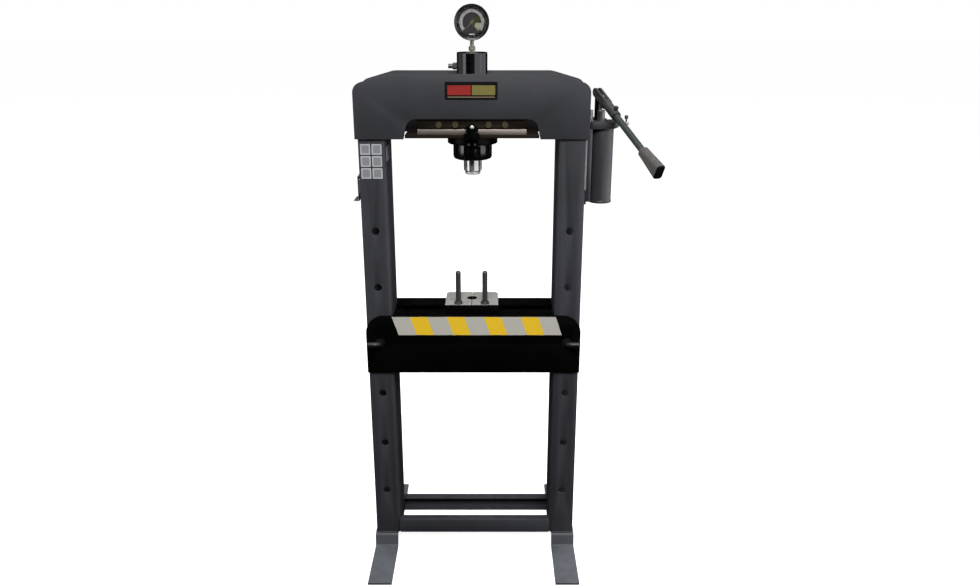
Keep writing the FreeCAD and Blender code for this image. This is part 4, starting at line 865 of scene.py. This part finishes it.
def add_bare_panels():
    """Six bare framed panels on the left upright's front and a wider one on its inner side."""
    rows = rows_and_columns()
    spread = {"Columns": 2, "Rows": 3, "Across": 33 * MM, "Rise": 35 * MM}
    front = Vector((-293 * MM, FRAME_FRONT, 1307.5 * MM))
    side = Vector((-251 * MM, -25 * MM, 1324 * MM))
    corner = 2 * MM
    for part, inset, lift, finish in (("rim", 0, 0, panel_pale), ("field", 8 * MM, FILM, panel_grey)):
        outline = rounded(29 * MM - inset, 31 * MM - inset, corner)
        panel = flat_plate("panel_" + part, outline, front - Vector((0, lift, 0)), RIGHTWARD, FILM)
        grow("bare_panel_" + part, rows, panel, finish, "frame", "frame_paint", **spread)
        outline = rounded(74 * MM - inset, 42 * MM - inset, corner)
        wide = flat_plate("side_panel_" + part, outline, side + Vector((lift, 0, 0)), BACKWARD, FILM)
        add_piece("side_panel_" + part, wide, finish, "frame")


add_striped_band()
add_head_plate_film()
add_bare_panels()


# ---------------------------------------------------------------- welds and screws

def add_welds():
    """The beads where plates meet, each along a path of corners in millimetres."""
    brim = 81.2
    stitch = 42
    frame_paths = []
    bed_paths = []
    for side in (-1, 1):
        for face in (-1, 1):
            edge = face * 81.5
            plate_back = face * 82
            bar_end = face * 77
            guide_top = face * 80
            tie_end = face * 80.5
            # the upright's foot, the cross bar's end, and the head plate's lower and outer edges
            frame_paths += [
                [(side * 262, edge, 51), (side * 325, edge, 51)],
                [(side * 251, bar_end, 54), (side * 251, bar_end, 96)],
                [(side * 264, plate_back, 1371.5), (side * 326, plate_back, 1371.5)],
                [(side * 330.3, edge, 1376), (side * 330.3, edge, 1486)]]
            # two stitches on top of the guide beam, against the head plate
            frame_paths += [[(x, guide_top, 1462), (x + side * stitch, guide_top, 1462)]
                            for x in (side * 18, side * 96)]
            bed_paths.append([(side * 226.5, tie_end, 664), (side * 226.5, tie_end, 806)])
        # the holder's front brim and then its back brim, on the left upright
        frame_paths.append([(-330.5, side * brim, 1216), (-330.5, side * brim, 1254)])
    # three stitches on the back brim of the pump bracket
    frame_paths += [[(330.5, brim, z), (330.5, brim, z + 50)] for z in (1188, 1263, 1338)]
    # the whole front brim gets one pale bead, a painted highlight along the bracket's edge
    front_brim = [(330, -brim, 1223), (330, -brim, 1371)]

    bead = weld_bead()
    pitch = 4 * MM
    grow("frame_welds", bead, path_mesh("frame_weld_paths", frame_paths), weld_coat,
         "frame", "frame_paint", Width=5 * MM, Pitch=pitch, Ripple=0.16, Seed=3)
    grow("bracket_weld", bead, path_mesh("bracket_weld_path", [front_brim]), rubbed_weld,
         "frame", "frame_paint", Width=5.5 * MM, Pitch=pitch, Ripple=0.1, Seed=5)
    grow("bed_welds", bead, path_mesh("bed_weld_paths", bed_paths), bed_weld_coat,
         "frame", "bed_paint", Width=5 * MM, Pitch=pitch, Ripple=0.16, Seed=7)


def add_screws():
    """Socket screws in the pump head and the lock bracket, and the lock stud's end in its knob."""
    screw = socket_screw()
    pump_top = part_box("pump_head")[1].z - 0.3 * MM
    bracket_front = -93 * MM
    knob_middle = (1 * MM, -112.8 * MM, 1409.5 * MM)
    points = [(x * MM, y * MM, pump_top) for x in (352, 422) for y in (-32, 32)]
    grow("pump_head_screws", screw, mesh_from("pump_screw_points", points), black_oxide, "frame",
         "pump_paint", Radius=5 * MM, Height=5 * MM, Turn=(0, 0, math.radians(15)))
    points = [(x * MM, bracket_front, 1358 * MM) for x in (-9, 9)]
    grow("lock_bracket_screws", screw, mesh_from("lock_screw_points", points), black_oxide, "carriage",
         SLOT_OF["lock_bracket"], Radius=3.5 * MM, Height=3.5 * MM, Turn=(math.radians(90), 0, 0))
    dome = ((0, -3.6), (2.6, -3.3), (4.6, -2.3), (5.8, -0.8), (6, 1.5), (0, 1.5))
    outline = [(radius * MM, y * MM) for radius, y in dome]
    stud = turned_form("lock_stud_end", outline, knob_middle, 48)
    add_piece("lock_stud_end", stud, bright_zinc, "lock")


add_welds()
add_screws()


# ---------------------------------------------------------------- stage, light and camera

WORLD_GLOW = 0.012


def add_stage():
    """A pale floor that lights nothing, in a world white to the camera and dim to everything else."""
    reach = 60
    corners = [(-reach, -reach, 0), (reach, -reach, 0), (reach, reach, 0), (-reach, reach, 0)]
    mesh = mesh_from("floor", corners, faces=[(0, 1, 2, 3)])
    floor = bpy.data.objects.new("floor", mesh)
    bpy.context.scene.collection.objects.link(floor)
    mesh.materials.append(stage_floor("stage_floor"))
    floor.visible_diffuse = False
    floor.visible_glossy = False

    world = bpy.data.worlds.new("studio")
    bpy.context.scene.world = world
    world.use_nodes = True
    sky = Builder(world.node_tree)
    white = world.node_tree.nodes["Background"]
    white.inputs["Color"].default_value = (1, 1, 1, 1)
    seen = sky.node("ShaderNodeLightPath")["Is Camera Ray"]
    sky.feed(white.inputs["Strength"], seen * (1.0 - WORLD_GLOW) + WORLD_GLOW)


def add_softbox(name, place, aim, width, height, power, hidden_from):
    """A lit rectangle; without glossy rays it is a fill, and without diffuse ones a reflection card."""
    lamp = bpy.data.lights.new(name, "AREA")
    lamp.shape = "RECTANGLE"
    lamp.size = width
    lamp.size_y = height
    lamp.energy = power
    item = bpy.data.objects.new(name, lamp)
    bpy.context.scene.collection.objects.link(item)
    item.location = place
    item.rotation_euler = (Vector(aim) - Vector(place)).to_track_quat("-Z", "Y").to_euler()
    item.visible_diffuse = "diffuse" not in hidden_from
    item.visible_glossy = "glossy" not in hidden_from


def add_camera():
    """A camera a little right of the middle, above the head and looking down."""
    sensor_width = 36.0
    picture_width = 980
    focal_pixels = 830.0
    looking_down = 18.55
    camera = bpy.data.cameras.new("camera")
    camera.sensor_width = sensor_width
    camera.lens = sensor_width * focal_pixels / picture_width
    camera.clip_end = 200
    item = bpy.data.objects.new("camera", camera)
    bpy.context.scene.collection.objects.link(item)
    item.location = (0.0518, -2.4916, 1.7099)
    item.rotation_euler = Euler((math.radians(90 - looking_down), 0, 0))
    bpy.context.scene.camera = item


# name, place, aim, width, height, power and the rays that the softbox is hidden from
SOFTBOXES = (
    ("key", (0.4, -3.4, 4.2), (0, 0, 1.1), 2.6, 1.8, 212, ()),
    ("right_panel", (2.35, -2.2, 1.5), (0, 0, 1.4), 3.2, 2.4, 30, ("diffuse",)),
    ("left_panel", (-2.8, -1.7, 1.5), (0, 0, 1.4), 1.3, 2.2, 18, ("diffuse",)),
    ("right_side", (3.4, 0, 1.4), (0, 0, 1.1), 1.0, 2.6, 160, ("glossy",)),
    ("left_side", (-3.4, 0, 1.4), (0, 0, 1.1), 1.0, 2.6, 90, ("glossy",)),
    ("right_card", (3.4, 0.3, 1.6), (0, 0, 1.2), 3.4, 2.8, 36, ("diffuse",)),
    ("left_card", (-3.4, 0.3, 1.6), (0, 0, 1.2), 3.4, 2.8, 14, ("diffuse",)),
    ("back_right", (3.2, 2.4, 3.4), (0, 0, 1.1), 1.6, 1.6, 60, ("glossy",)),
    ("back_left", (-3.2, 2.4, 3.4), (0, 0, 1.1), 1.6, 1.6, 60, ("glossy",)),
    ("top", (0, 0, 4.4), (0, 0, 0), 2.5, 2.5, 55, ()),
)

add_stage()
for softbox in SOFTBOXES:
    add_softbox(*softbox)
add_camera()
bpy.context.scene.view_settings.view_transform = "Standard"
